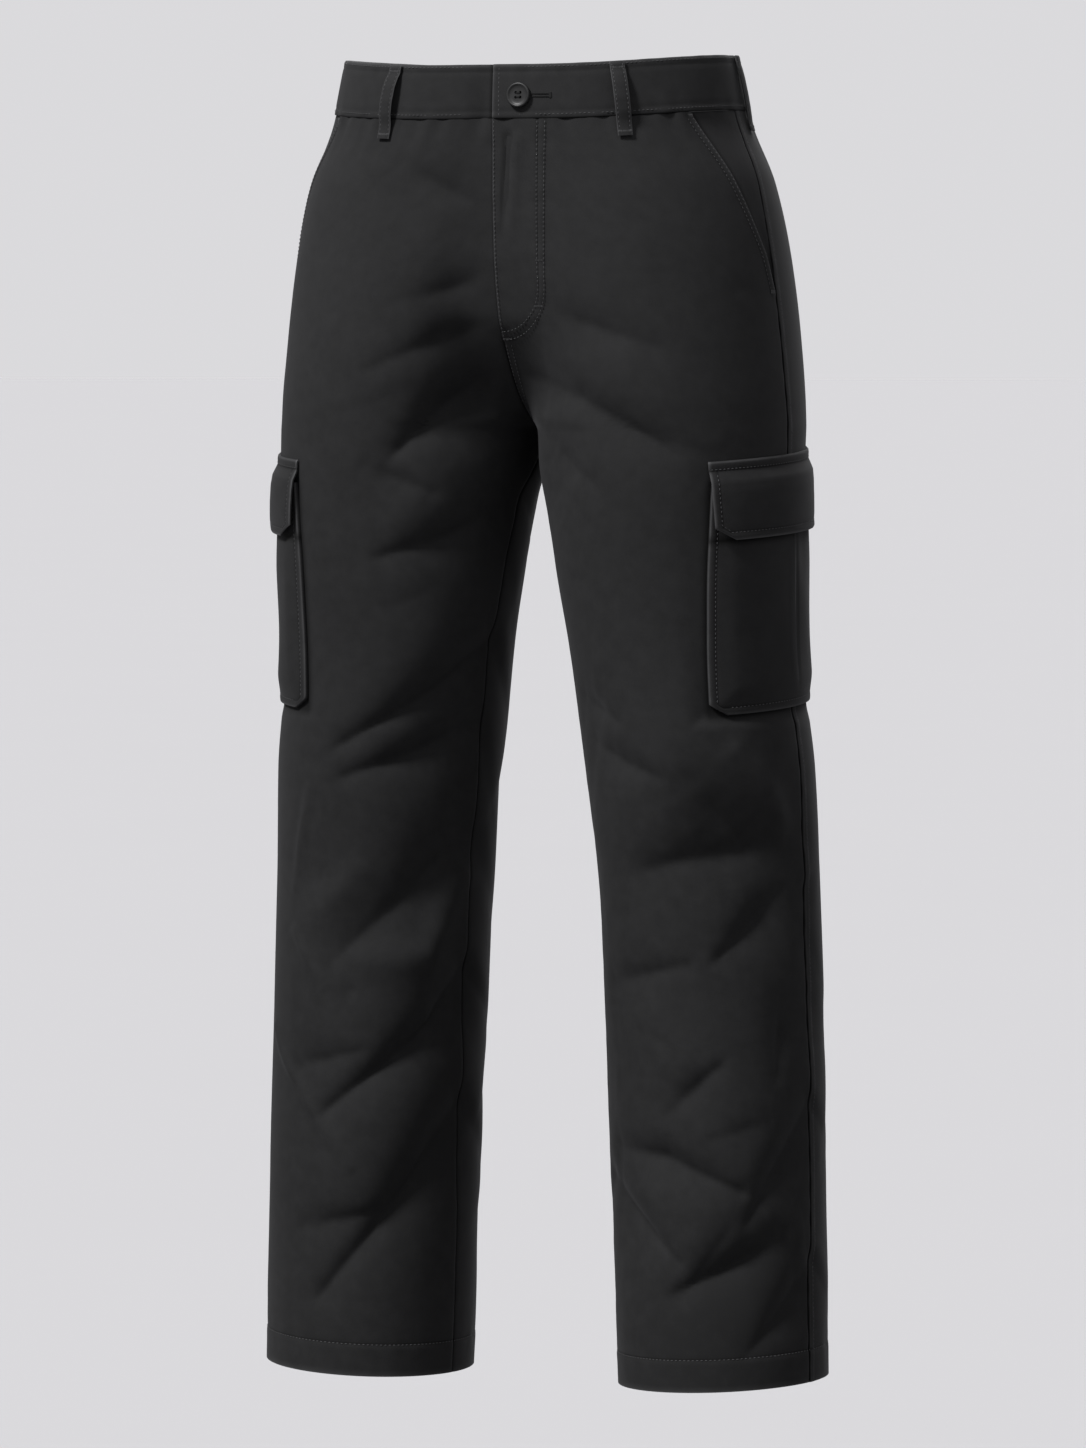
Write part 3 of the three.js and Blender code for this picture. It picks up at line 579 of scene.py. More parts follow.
def plastic(name):
    f = Finish(name)
    where = f.node("ShaderNodeTexCoord", {}, output=3)
    cloud = f.noise(where, 180, 3.0)
    grain = f.noise(where, 1600, 2.0)
    f.set(
        Base_Color=f.blend(cloud, grey(0.005), grey(0.008)),
        Roughness=0.36 + 0.16 * cloud,
        Normal=f.node("ShaderNodeBump", {}, Strength=0.2, Distance=0.0001, Height=grain),
        Specular_IOR_Level=0.14,
    )
    return f.data


def yarn(name, dark, light):
    """Twisted sewing thread."""
    f = Finish(name)
    where = f.node("ShaderNodeTexCoord", {}, output=3)
    split = f.node("ShaderNodeSeparateXYZ", {}, where, output=0)
    height = f.node("ShaderNodeSeparateXYZ", {}, where, output=2)
    twist = ((split + height) * 9000).sine() * 0.5 + 0.5
    fuzz = f.noise(where, 1200, 2.0)
    f.set(
        Base_Color=f.blend(fuzz, grey(dark), grey(light)),
        Roughness=0.7 + 0.2 * fuzz,
        Normal=f.node("ShaderNodeBump", {}, Strength=0.4, Distance=0.0001, Height=twist),
        Specular_IOR_Level=0.1,
    )
    return f.data


def studio(name, colour):
    f = Finish(name)
    where = f.node("ShaderNodeTexCoord", {}, output=3)
    mottle = f.noise(where, 1.5, 2.0)
    darker = tuple(v * 0.99 for v in colour)
    f.set(Base_Color=f.blend(mottle, colour, darker), Roughness=0.95, Specular_IOR_Level=0.0)
    return f.data


TWILL = twill("black_twill", 0.0047, 0.0095, 0.026)
TRIM = twill("black_twill_pressed", 0.0047, 0.0095, 0.03)
THREAD = yarn("charcoal_thread", 0.018, 0.032)
DARK_THREAD = yarn("black_thread", 0.004, 0.008)
HORN = plastic("charcoal_button")


def mesh_from(bm, name):
    mesh = bpy.data.meshes.new(name)
    bm.to_mesh(mesh)
    bm.free()
    return mesh


def placed(name, data):
    made = bpy.data.objects.new(name, data)
    bpy.context.scene.collection.objects.link(made)
    return made


def grid_piece(name, material, points, uv, wear_and_painted_light=None, thick=CLOTH):
    """A cloth piece from a grid of points (rows, columns, 3) in millimetres, given a thickness."""
    rows, columns = points.shape[:2]
    bm = bmesh.new()
    bmesh.ops.create_grid(bm, x_segments=columns - 1, y_segments=rows - 1, size=0.5)
    mesh = mesh_from(bm, name)
    count = len(mesh.vertices)
    place = np.empty(count * 3)
    mesh.vertices.foreach_get("co", place)
    place = place.reshape(-1, 3)
    column = np.rint((place[:, 0] + 0.5) * (columns - 1)).astype(int)
    row = np.rint((place[:, 1] + 0.5) * (rows - 1)).astype(int)
    mesh.vertices.foreach_set("co", (points[row, column] * MM).ravel())
    corner = np.empty(len(mesh.loops), int)
    mesh.loops.foreach_get("vertex_index", corner)
    layer = mesh.uv_layers.new(name="cloth")
    layer.data.foreach_set("uv", (uv[row, column][corner] * MM).ravel())
    # The attribute holds edge wear with painted highlights, and painted shade as negative values.
    worn_and_highlit = mesh.attributes.new("wear_and_painted_light", "FLOAT", "POINT")
    wear_and_painted_light = np.zeros((rows, columns)) if wear_and_painted_light is None else wear_and_painted_light
    worn_and_highlit.data.foreach_set("value", wear_and_painted_light[row, column])
    mesh.materials.append(material)
    facing_out(mesh, points)
    piece = placed(name, mesh)
    wall = piece.modifiers.new("wall", "SOLIDIFY")
    wall.thickness = thick * MM
    wall.offset = -1
    wall.use_rim = True
    settle(piece)
    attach(piece, "root")
    return piece


def facing_out(mesh, points):
    """Turns the faces of a grid whose columns run the other way round the garment."""
    middle = points.mean(axis=(0, 1))
    if mesh.name.startswith(("fly", "waistband", "belt_loop_back")):
        centre = np.array([0.0, 0.0, middle[2]])
    else:
        centre = np.array([math.copysign(110, middle[0]), 0.0, middle[2]])
    normals = np.empty(len(mesh.polygons) * 3)
    centres = np.empty(len(mesh.polygons) * 3)
    mesh.polygons.foreach_get("normal", normals)
    mesh.polygons.foreach_get("center", centres)
    outward = (centres.reshape(-1, 3) - centre * MM) * [1, 1, 0]
    if (outward * normals.reshape(-1, 3)).sum() < 0:
        mesh.flip_normals()


SHARP = math.radians(55)


def settle(piece):
    """Applies a piece's modifiers and keeps its crisp edges crisp."""
    held = piece.evaluated_get(bpy.context.evaluated_depsgraph_get())
    mesh = bpy.data.meshes.new_from_object(held)
    mesh.name = piece.name
    piece.modifiers.clear()
    piece.data = mesh
    mesh.shade_smooth()
    mesh.set_sharp_from_angle(angle=SHARP)


def mirrored(points, leg):
    return points * [leg, 1, 1]


PANEL_TOP = -BAND_HEIGHT - SEAM_GAP
EDGE_COLUMNS = np.array([0, 0.4, 0.8, 1.4, 3.2, 5.2, 6.0, 6.8, 9])
FLY_COLUMNS = np.array([12, 15, 18, 22, 26, 30, 33.5, 36, 37, 38, 39, 41, 43, 44, 45, 47])
CLOTH_STEP = 3.0
TUCK = {"rise": 5.5, "in": -2.2}
SEAM_TUCK = {"reach": 2.6, "in": -1.9}


def panel_heights():
    hem = HEM_Z + np.array([0, 0.8, 2, 5, 9, 13, 17, 20.5, 23.4, 24.4, 25, 25.7, 27, 30])
    leg = np.arange(HEM_Z + 33.3, CROTCH_Z - 3, CLOTH_STEP)
    crotch = CROTCH_Z + np.array([-3, -1.2, -0.01, 1.2, 3, 5])
    rise = np.linspace(CROTCH_Z + 8, PANEL_TOP, 80)
    return np.concatenate([hem, leg, crotch, rise, PANEL_TOP + np.array([0.3, TUCK["rise"]])])


def column_runs(width, near, far):
    """Distances from a panel's first edge; its close columns keep theirs at every height."""
    free = width - near[-1] - far[-1]
    middle = near[-1] + np.linspace(0, 1, round(np.max(free) / CLOTH_STEP)) * free[:, None]
    first = np.repeat(near[None, :-1], len(width), axis=0)
    return np.concatenate([first, middle, width[:, None] - far[None, -2::-1]], axis=1)


def grid_normals(points):
    up = np.gradient(points, axis=0)
    across = np.gradient(points, axis=1)
    normal = np.cross(up, across)
    normal /= np.maximum(np.linalg.norm(normal, axis=-1, keepdims=True), 1e-9)
    return normal


def pucker(along, away, reach, seed):
    """Small drawn-in waves beside a seam."""
    wave = np.sin(along / 4.1 + seed) + 0.7 * np.sin(along / 2.7 + 2.1 * seed) + 0.5 * np.sin(along / 9.3)
    return wave * np.exp(-np.abs(away) / reach)


def bump_line(distance, at, width):
    return np.exp(-(((distance - at) / width) ** 2))


def hem_relief(z, along):
    inside = 1 - smooth((z - HEM_Z - HEM_DEPTH) / 1.2)
    groove = bump_line(z, HEM_Z + HEM_DEPTH, 1.3)
    return 0.5 * inside - 0.55 * groove + 0.12 * pucker(along, z - HEM_Z - HEM_DEPTH, 9, 1.3)


def panel_top_relief(z, c):
    """Puckers under the waistband, and the edge that tucks up behind it."""
    tucked = smooth((z - PANEL_TOP) / 0.3)
    return mix(0.7 * pucker(c, PANEL_TOP - z, 12, 2.4), TUCK["in"], tucked)


def painted_pocket_shadow(z, c):
    """1 close to the outline of the cargo pocket, and 0 away from it: where the leg gets a painted shadow of
    the pocket.
    """
    level = z - POCKET_TILT * (c - POCKET_SEAM_C)
    middle, deep = (POCKET["top"] + POCKET["bottom"]) / 2, (POCKET["top"] - POCKET["bottom"]) / 2
    over, under = np.abs(c - POCKET_SEAM_C) - POCKET["half"], np.abs(level - middle) - deep
    away = np.hypot(np.maximum(over, 0), np.maximum(under, 0))
    return np.exp(-((away / 3.4) ** 2))


# The cloth is toned darker on the inner thigh too, in place of the deep shade between the legs.
THIGH_TONE = {"most": 0.7, "start": 26, "high": 150, "wide": 34}


def inner_thigh(z, far):
    """Up to 1 on the inner thigh below the crotch, and 0 away from it."""
    down = smooth((CROTCH_Z - z) / THIGH_TONE["start"]) * (1 - smooth((CROTCH_Z - z) / THIGH_TONE["high"]))
    return down * bump_line(far, 0, THIGH_TONE["wide"])


def panel(name, node, leg, start, end, near_columns, far_columns, relief, painted_light_and_wear):
    z = panel_heights()
    widths = end(z) - start(z)
    width = np.abs(widths)[:, None]
    run = column_runs(width[:, 0], near_columns, far_columns)
    grid_z = np.repeat(z[:, None], run.shape[1], axis=1)
    c = start(z)[:, None] + np.sign(widths)[:, None] * run
    points = cloth_point(leg, grid_z, c)
    normal = grid_normals(points)
    outward = np.sign((normal * (points - [110, 0, 0]) * [1, 1, 0]).sum())
    # Painted light in the panel's tone: worn edges with painted highlights, painted shade along seams, and
    # painted shadow beside the cargo pocket and on the inner thigh.
    tone = painted_light_and_wear(grid_z, run, width - run) - 0.8 * painted_pocket_shadow(grid_z, c)
    tone = tone - THIGH_TONE["most"] * inner_thigh(grid_z, width - run)
    lift = relief(grid_z, run, width - run) + hem_relief(grid_z, c) + panel_top_relief(grid_z, c)
    points = points + outward * normal * lift[..., None]
    edge = np.where(grid_z > CROTCH_Z, RISE_EDGE * 0.5, THIGH_EDGE * 0.6)
    points[..., 0] = np.maximum(points[..., 0], edge)
    at_centre = (grid_z > CROTCH_Z) & (width - run < 0.01)
    points[..., 0] = np.where(at_centre, 0, points[..., 0])
    uv = np.stack([c * leg, grid_z], axis=-1)
    piece = grid_piece(name, TWILL, mirrored(points, leg), uv, wear_and_painted_light=tone)
    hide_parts(node)
    area = area_under(widths, z)


# Paler at the hem's folded edge, wear with a painted highlight, and painted shade in the hem's stitch groove.
def hem_wear_and_painted_light(z):
    return 0.35 * bump_line(z, HEM_Z, 2) - 0.7 * bump_line(z, HEM_Z + HEM_DEPTH + 0.5, 0.7)


def fly_reach(z, from_centre):
    """How far outside the fly's outer stitch line, with its rounded lower end, a place lies."""
    low = np.clip(FLY_BOTTOM + FLY_WIDTH - z, 0, None)
    return np.hypot(from_centre, low) - FLY_WIDTH


FLY_CREASE = {"top": -50, "bottom": -150, "in_top": 14, "in_bottom": 8, "deep": 3.4, "ridge": 2.2}


def front_relief(leg):
    def lift(z, near, far):
        slant = smooth((z - SLANT["end"]) / 6)
        turned = (1 - smooth((near - 6) / 1.2)) * 0.45 - 0.3 * bump_line(near, 6, 0.9)
        valley = -0.5 * bump_line(near, 0, 1.1) + 0.12 * pucker(z, near, 7, 0.4)
        made = slant * turned + (1 - slant) * valley
        if leg == 1:
            reach = fly_reach(z, far)
            made = made + 0.45 * (1 - smooth(reach / 1.5)) + 0.35 * bump_line(reach, -3.2, 1.8)
            made = made - 0.45 * bump_line(reach, -0.3, 1.0) - 0.45 * bump_line(reach, -6.4, 1.0)
            made = made + 0.2 * pucker(z, reach + 3, 9, 1.1) * (reach < 12)
            crease = FLY_CREASE
            span = smooth((crease["top"] - z) / 12) * smooth((z - crease["bottom"]) / 50)
            down = (crease["top"] - z) / (crease["top"] - crease["bottom"])
            at = mix(crease["in_top"], crease["in_bottom"], down)
            ridge, valley = bump_line(far, at + 7, 4), bump_line(far, at, 3)
            made = made + span * (crease["ridge"] * ridge - crease["deep"] * valley)
        centre = -0.6 * bump_line(far, 0, 1.3) * (z < FLY_BOTTOM) + 0.1 * pucker(z, far, 7, 2.2)
        return made + centre

    return lift


# Paler on the pocket's slanted edge and the fly's lapped edge, wear with a painted highlight; painted shade
# along seams, stitch grooves and under the lap.
def front_wear_and_painted_light(leg):
    def tone(z, near, far):
        slant = smooth((z - SLANT["end"]) / 6)
        made = 0.6 * slant * bump_line(near, 0, 1.4) - (1 - slant) * bump_line(near, 0, 0.7)
        made = made - 0.4 * slant * bump_line(near, 6.2, 0.7) + hem_wear_and_painted_light(z)
        lapped = z > FLY_BOTTOM
        sewn = np.where(lapped, 0.5 if leg == 1 else -0.9, -1)
        made = made + sewn * bump_line(far, 0, 0.8)
        if leg == 1:
            reach = fly_reach(z, far)
            lines = bump_line(reach, 0.2, 0.8) + bump_line(reach, -6.4, 0.8)
            made = made - 0.45 * lines
        return made

    return tone


def back_relief(z, near, far):
    felled = 0.5 * (1 - smooth((near - 6.2) / 1.1)) - 0.45 * bump_line(near, 0, 0.9)
    stitched = -0.3 * bump_line(near, 6.2, 0.9) + 0.14 * pucker(z, near, 8, 3.1)
    centre = -0.6 * bump_line(far, 0, 1.3) + 0.1 * pucker(z, far, 7, 1.9)
    return mix(felled + stitched + centre, SEAM_TUCK["in"], smooth(-near / 0.3))


# A painted highlight beside the felled seam, and painted shade along seams and stitch lines.
def back_wear_and_painted_light(z, near, far):
    seams = bump_line(near, 0, 0.7) + 0.5 * bump_line(near, 6.4, 0.7) + bump_line(far, 0, 0.7)
    return 0.25 * bump_line(near, 1.4, 0.8) - seams + hem_wear_and_painted_light(z)


def trouser_panels(side, leg):
    panel(
        "front_panel_" + side,
        "front_" + side,
        leg,
        lambda z: side_seam(z) + SEAM_GAP / 2 + slant_mouth(z),
        lambda z: inseam(z) - np.where(z > CROTCH_Z, 0, SEAM_GAP / 2),
        EDGE_COLUMNS,
        np.concatenate([EDGE_COLUMNS, FLY_COLUMNS]),
        front_relief(leg),
        front_wear_and_painted_light(leg),
    )

    def inner_end(z):
        ahead, behind = total_at(FRONT_TOTALS, z), total_at(BACK_TOTALS, z)
        return np.where(z > CROTCH_Z, -behind, -behind - (ahead - inseam(z)) + SEAM_GAP / 2)

    panel(
        "back_panel_" + side,
        "back_" + side,
        leg,
        lambda z: side_seam(z) - SEAM_GAP / 2,
        inner_end,
        np.concatenate([[-SEAM_TUCK["reach"], -0.3], EDGE_COLUMNS]),
        EDGE_COLUMNS,
        back_relief,
        back_wear_and_painted_light,
    )


# Sewing: a stitch is a short spindle of thread; a line of them is one joined piece.
def stitch_form():
    bm = bmesh.new()
    bmesh.ops.create_uvsphere(bm, u_segments=6, v_segments=4, radius=0.5)
    bmesh.ops.rotate(bm, matrix=Matrix.Rotation(math.pi / 2, 3, "Y"), verts=bm.verts)
    return mesh_from(bm, "stitch_form")


STITCH = stitch_form()


class Seam:
    """Stitches gathered into one piece."""

    def __init__(self, name, material=THREAD):
        self.name = name
        self.material = material
        self.bm = bmesh.new()

    def stitch(self, at, along, out, length=2.1, wide=0.65, high=0.5):
        along = Vector(along).normalized()
        out = Vector(out)
        out = (out - along * out.dot(along)).normalized()
        beside = out.cross(along)
        turn = Matrix((along, beside, out)).transposed().to_4x4()
        size = Matrix.Diagonal((length * MM, wide * MM, high * MM, 1))
        move = Matrix.Translation(Vector(at) * MM) @ turn @ size
        STITCH.transform(move)
        self.bm.from_mesh(STITCH)
        STITCH.transform(move.inverted())

    def line(self, points, normals, pitch=STITCH_PITCH, **size):
        points, normals = np.asarray(points, float), np.asarray(normals, float)
        gaps = np.linalg.norm(np.diff(points, axis=0), axis=1)
        run = np.concatenate([[0], np.cumsum(gaps)])
        places = np.arange(pitch / 2, run[-1], pitch)
        at = np.stack([np.interp(places, run, points[:, k]) for k in range(3)], axis=1)
        out = np.stack([np.interp(places, run, normals[:, k]) for k in range(3)], axis=1)
        ahead = np.stack([np.interp(places + 0.5, run, points[:, k]) for k in range(3)], axis=1)
        behind = np.stack([np.interp(places - 0.5, run, points[:, k]) for k in range(3)], axis=1)
        for p, n, a, b in zip(at, out, ahead, behind):
            self.stitch(p, a - b, n, **size)

    def bar(self, leg, z, places, out, **size):
        """A bar tack: upright stitches side by side."""
        for c in places:
            at, normal = on_cloth(leg, [z], [c], out)
            self.stitch(at[0], (0, 0, 1), normal[0], **size)

    def finish(self):
        mesh = mesh_from(self.bm, self.name)
        mesh.materials.append(self.material)
        mesh.shade_smooth()
        piece = placed(self.name, mesh)
        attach(piece, "root")
        return piece


def on_cloth(leg, z, c, out):
    """Points on one half's cloth and the normals there, on the garment's own side."""
    z, c = np.broadcast_arrays(np.asarray(z, float), np.asarray(c, float))
    low, high = cloth(leg, z, c, out), cloth(leg, z, c, np.asarray(out, float) + 1)
    return mirrored(low, leg), mirrored(high - low, leg)


# Waistband: rows from the top edge down, columns from the wearer's left end round the back
# and under that end again.
BAND_ROWS = np.array([0, 0.5, 1.5, 3, 5, 6, 7, 11, 16, 21.5, 27, 32, 36, 37.5, 38.5, 40.5, 42, 42.7, 43])
BAND_LAP = {"sink_from": 22, "sink_to": 3, "under": 38, "sink": -2.6}
BAND_CLOTH = 1.9
BAND_PUCKER = {"lower": 0.4, "upper": 0.25}


def band_profile(down):
    puff = 0.35 * np.sin(math.pi * np.clip(down / BAND_HEIGHT, 0, 1))
    stitched = 0.35 * (bump_line(down, 6, 0.9) + bump_line(down, 37.5, 0.9))
    rolled = 0.7 * (bump_line(down, 0, 0.9) + 0.6 * bump_line(down, BAND_HEIGHT, 0.8))
    return 0.9 + puff - stitched - rolled


def band_stations():
    """Side of the garment, and distance from the centre front going round, of each column."""
    half = band_half()
    left = np.concatenate([[0, 0.5, 1.5, 3, 5, 6, 7], np.arange(10, half, 3.2)])
    right = np.arange(half, BAND_LAP["sink_from"], -3.2)
    lap = np.concatenate([np.arange(22, 0.5, -1.5), -np.arange(0.8, BAND_LAP["under"], 2.4)])
    return half, left, right, lap


def band_half():
    return total_at(FRONT_TOTALS, -BAND_HEIGHT / 2) + total_at(BACK_TOTALS, -BAND_HEIGHT / 2)


def waistband_points(along, down):
    """Height and place across one half, at a distance from the centre front and from the top."""
    z = -down
    ahead, behind = total_at(FRONT_TOTALS, z), total_at(BACK_TOTALS, z)
    return z, ahead - (np.abs(along) / band_half()) * (ahead + behind)


def waistband():
    half, left, right, lap = band_stations()
    down = BAND_ROWS[::-1]
    blocks, uvs, tones = [], [], []
    for leg, along, over in ((1, left, True), (-1, right, True), (-1, lap, False)):
        grid_down = np.repeat(down[:, None], len(along), axis=1)
        grid_along = np.repeat(along[None, :], len(down), axis=0)
        z, c = waistband_points(grid_along, grid_down)
        drawn = pucker(grid_along * leg, BAND_HEIGHT - grid_down, 7, 0.8)
        upper = pucker(grid_along * leg, grid_down, 6, 2.6)
        out = band_profile(grid_down) + BAND_PUCKER["lower"] * drawn + BAND_PUCKER["upper"] * upper
        if over and leg == 1:
            out = out - 0.8 * bump_line(grid_along, 0, 1.2) + 0.5 * (1 - smooth(grid_along / 60))
        if not over:
            sink = smooth((BAND_LAP["sink_from"] - grid_along) / (BAND_LAP["sink_from"] - BAND_LAP["sink_to"]))
            out = out + BAND_LAP["sink"] * sink
        own = np.where(grid_along < 0, -leg, leg)
        left_points = cloth(1, z, c, out)
        points = left_points * np.stack([own, np.ones_like(own), np.ones_like(own)], axis=-1)
        points[..., 0] = np.where(np.abs(grid_along) < 0.01, 0, points[..., 0])
        blocks.append(points)
        around = grid_along if leg == 1 else 2 * half - grid_along
        uvs.append(np.stack([around, z], axis=-1))
        # Paler top edge and lapped end, wear with a painted highlight; painted shade at the lower seam and on
        # the underlap.
        painted_light_and_wear = 0.45 * bump_line(grid_down, 0.4, 1.2) - bump_line(grid_down, BAND_HEIGHT, 0.7)
        ends = 0.5 * bump_line(grid_along, 0.3, 1.0) if over else -0.9 * bump_line(grid_along, 1, 1.8)
        tones.append(painted_light_and_wear + ends)
    piece = grid_piece(
        "waistband_cloth",
        TRIM,
        np.concatenate(blocks, axis=1),
        np.concatenate(uvs, axis=1),
        wear_and_painted_light=np.concatenate(tones, axis=1),
        thick=BAND_CLOTH,
    )
    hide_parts("waistband")
    around = (2 * half + BAND_LAP["under"]) * MM
    seam = Seam("waistband_stitches")
    for inset in (2.2, BAND_HEIGHT - 3.2):
        for leg, along in ((1, left), (-1, right[::-1])):
            z, c = waistband_points(along, inset)
            lift = band_profile(inset) + 0.12
            points = mirrored(cloth(1, z, c, lift), leg)
            normal = mirrored(cloth(1, z, c, lift + 1), leg) - points
            seam.line(points, normal)
    down_line = np.linspace(2.4, BAND_HEIGHT - 2.4, 24)
    z, c = waistband_points(np.full_like(down_line, 5.5), down_line)
    points = cloth(1, z, c, band_profile(down_line) + 0.55)
    seam.line(points, cloth(1, z, c, 5) - cloth(1, z, c, 4))
    seam.finish()


FACING = {"foot": -176, "under_back": 3, "past_mouth": 16, "sunk": -1.25, "thick": 0.8}


def hip_facing(side, leg):
    z = np.linspace(PANEL_TOP, FACING["foot"], 56)[::-1]
    share = np.linspace(0, 1, 60)
    start = side_seam(z) - FACING["under_back"]
    end = side_seam(z) + slant_mouth(z) + FACING["past_mouth"]
    c = mix(start[:, None], end[:, None], share[None, :])
    grid_z = np.repeat(z[:, None], len(share), axis=1)
    sunk = smooth((c - side_seam(grid_z)) / np.maximum(slant_mouth(grid_z) - 5, 2))
    tucked = smooth((side_seam(grid_z) + 0.3 - c) / 0.8)
    points = cloth(leg, grid_z, c, mix(FACING["sunk"] * sunk, SEAM_TUCK["in"], tucked))
    uv = np.stack([c * leg, grid_z], axis=-1)
    shade = -0.85 * bump_line(c, side_seam(grid_z) + slant_mouth(grid_z), 3.5)
    shade = shade - bump_line(c, side_seam(grid_z), 0.9)
    name = "hip_facing_" + side
    points = mirrored(points, leg)
    piece = grid_piece(
        name + "_cloth", TRIM, points, uv, wear_and_painted_light=shade, thick=FACING["thick"]
    )
    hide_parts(name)
    width = float(np.max(end - start))
    area = float(area_under(end - start, z))
    seam = Seam("hip_pocket_stitches_" + side)
    line_z = np.linspace(PANEL_TOP - 1, SLANT["end"] + 4, 80)
    for inset in (1.6, 6.4):
        line_c = side_seam(line_z) + slant_mouth(line_z) + inset
        seam.line(*on_cloth(leg, line_z, line_c, 0.5))
    for bar_z in (PANEL_TOP - 3, SLANT["end"] + 6):
        places = side_seam(bar_z) + slant_mouth(bar_z) + 1 + 0.75 * np.arange(9)
        seam.bar(leg, bar_z, places, 0.55, length=3.2, wide=0.6)
    seam.finish()


SHIELD = {"right": 12, "left": 46, "narrows": 0.45, "over": 40, "sunk": -1.5}


def fly():
    share = np.linspace(0, 1, 24)
    z = np.linspace(-44, FLY_BOTTOM, 60)[::-1]
    narrow = 1 - SHIELD["narrows"] * smooth((FLY_BOTTOM + SHIELD["over"] - z) / SHIELD["over"])
    from_centre = mix(-SHIELD["right"], SHIELD["left"] * narrow[:, None], share[None, :])
    grid_z = np.repeat(z[:, None], len(share), axis=1)
    c = total_at(FRONT_TOTALS, grid_z) - np.abs(from_centre)
    points = cloth(1, grid_z, c, SHIELD["sunk"])
    points[..., 0] *= np.sign(from_centre + 1e-9)
    uv = np.stack([from_centre, grid_z], axis=-1)
    piece = grid_piece("fly_shield_cloth", TRIM, points, uv, thick=0.9)
    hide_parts("fly_shield")
    float(area_under(SHIELD["left"] * narrow + SHIELD["right"], z)) * MM * MM
    seam = Seam("fly_stitches")
    for width in (FLY_WIDTH - 6.4, FLY_WIDTH):
        low = FLY_BOTTOM + (FLY_WIDTH - width)
        deep = low + width
        straight = np.linspace(PANEL_TOP - 1, deep, 60)
        turn = np.linspace(0, math.pi / 2, 30)
        line_z = np.concatenate([straight, deep - width * np.sin(turn)])
        line_in = np.concatenate([np.full_like(straight, width), width * np.cos(turn)])
        line_c = total_at(FRONT_TOTALS, line_z) - line_in
        line_c = np.minimum(line_c, total_at(FRONT_TOTALS, line_z) - 0.6)
        seam.line(*on_cloth(1, line_z, line_c, 1.1))
    edge_z = np.linspace(PANEL_TOP - 1, FLY_BOTTOM - 2, 70)
    seam.line(*on_cloth(1, edge_z, total_at(FRONT_TOTALS, edge_z) - 1.4, 1.15))
    below = np.linspace(FLY_BOTTOM - 4, CROTCH_Z + 22, 30)
    for inset in (1.5, 6):
        seam.line(*on_cloth(1, below, total_at(FRONT_TOTALS, below) - inset, 0.15))
    for bar_z, first, wide in ((-160, 36.5, 9), (-196, 34, 9), (FLY_BOTTOM + 1, 0.8, 10)):
        places = total_at(FRONT_TOTALS, bar_z) - first - 0.8 * np.arange(wide)
        seam.bar(1, bar_z, places, 1.15, length=1.7, wide=0.3, high=0.25)
    seam.finish()


def back_seams():
    seam = Seam("back_stitches")
    for leg in (1, -1):
        z = np.linspace(PANEL_TOP - 1, CROTCH_Z + 12, 90)
        seam.line(*on_cloth(leg, z, -total_at(BACK_TOTALS, z) + 3, 0.2))
        z = np.linspace(PANEL_TOP - 1, HEM_Z + 2, 260)
        seam.line(*on_cloth(leg, z, side_seam(z) - 6.2, 0.35), high=0.34)
    seam.finish()


def hem_stitches():
    seam = Seam("hem_stitches")
    z = HEM_Z + HEM_DEPTH
    round_leg = total_at(FRONT_TOTALS, z) + total_at(BACK_TOTALS, z)
    c = np.linspace(0, round_leg, 200)
    c = np.where(c > total_at(FRONT_TOTALS, z), c - round_leg, c)
    for leg in (1, -1):
        seam.line(*on_cloth(leg, np.full_like(c, z), c, 0.12))
    seam.finish()


def tilted(z, c):
    return z + POCKET_TILT * (c - POCKET_SEAM_C)


# Cargo pocket: place across (w, from the middle) and down (v, from the top edge)
POCKET_WALL = ((0, 0.4), (0.05, 1.4), (0.1, 2.3), (0.2, 2.9), (0.5, 3.2), (1.2, 3.4))
POCKET_PROUD = 3.4
POCKET_SWELL = 2.8
# How much darker the faces of pockets and flaps are toned, again in place of shade
POCKET_TONE = 0.2
FLAP_TONE = 0.12
UNDER_FLAP = POCKET["top"] - FLAP["top"] + FLAP["down"]


def pocket_height(edge, w, v):
    """Height of the pocket over the leg, with its own sag and creases."""
    swell = POCKET_SWELL * smooth((edge - 2) / 22) * mix(0.35, 1, smooth((v - 25) / 50))
    groove = -0.45 * bump_line(edge, STITCH_INSET, 0.8)
    band = 0.25 * (1 - smooth((edge - STITCH_INSET) / 1.0))
    crease = bump_line(w, -6 + 0.02 * v, 1.6) - 0.7 * bump_line(w, -10 + 0.02 * v, 2.4)
    crease = 1.3 * crease * smooth((v - 30) / 30) * smooth((170 - v) / 30)
    dent = -0.9 * bump_line(w, -22, 12) * bump_line(v, 62, 26)
    dent = dent - 0.9 * bump_line(w, 34 - 0.12 * v, 14) * bump_line(v, 112, 34)
    ripple = 0.2 * np.sin(w / 7 + v / 19) * smooth(edge / 20)
    return POCKET_PROUD + swell + (crease + dent + ripple) * smooth((edge - 2) / 10) + groove + band


def pocket_grid():
    half = POCKET["half"]
    deep = POCKET["top"] - POCKET["bottom"]
    side = np.array([inset for inset, _ in POCKET_WALL])
    wall = np.array([height for _, height in POCKET_WALL])
    inner = np.concatenate([[3.2, 4.6, 5.4, 6, 6.6, 7.6], np.arange(10, half - 1, 2.6)])
    insets = np.concatenate([side, inner])
    w = np.concatenate([-half + insets, (half - insets)[::-1]])
    rise = np.concatenate([wall, np.full(len(inner), 99.0)])
    rise_w = np.concatenate([rise, rise[::-1]])
    down_in = np.concatenate([[0, 0.6, 2, 4], np.arange(7, deep - 9, 2.8)])
    v = np.concatenate([down_in, (deep - np.concatenate([side, [3.2, 4.6, 5.4, 6, 6.6, 7.6]]))[::-1]])
    rise_v = np.concatenate([np.full(len(down_in), 99.0), np.full(6, 99.0), wall[::-1]])
    return w, v, rise_w, rise_v


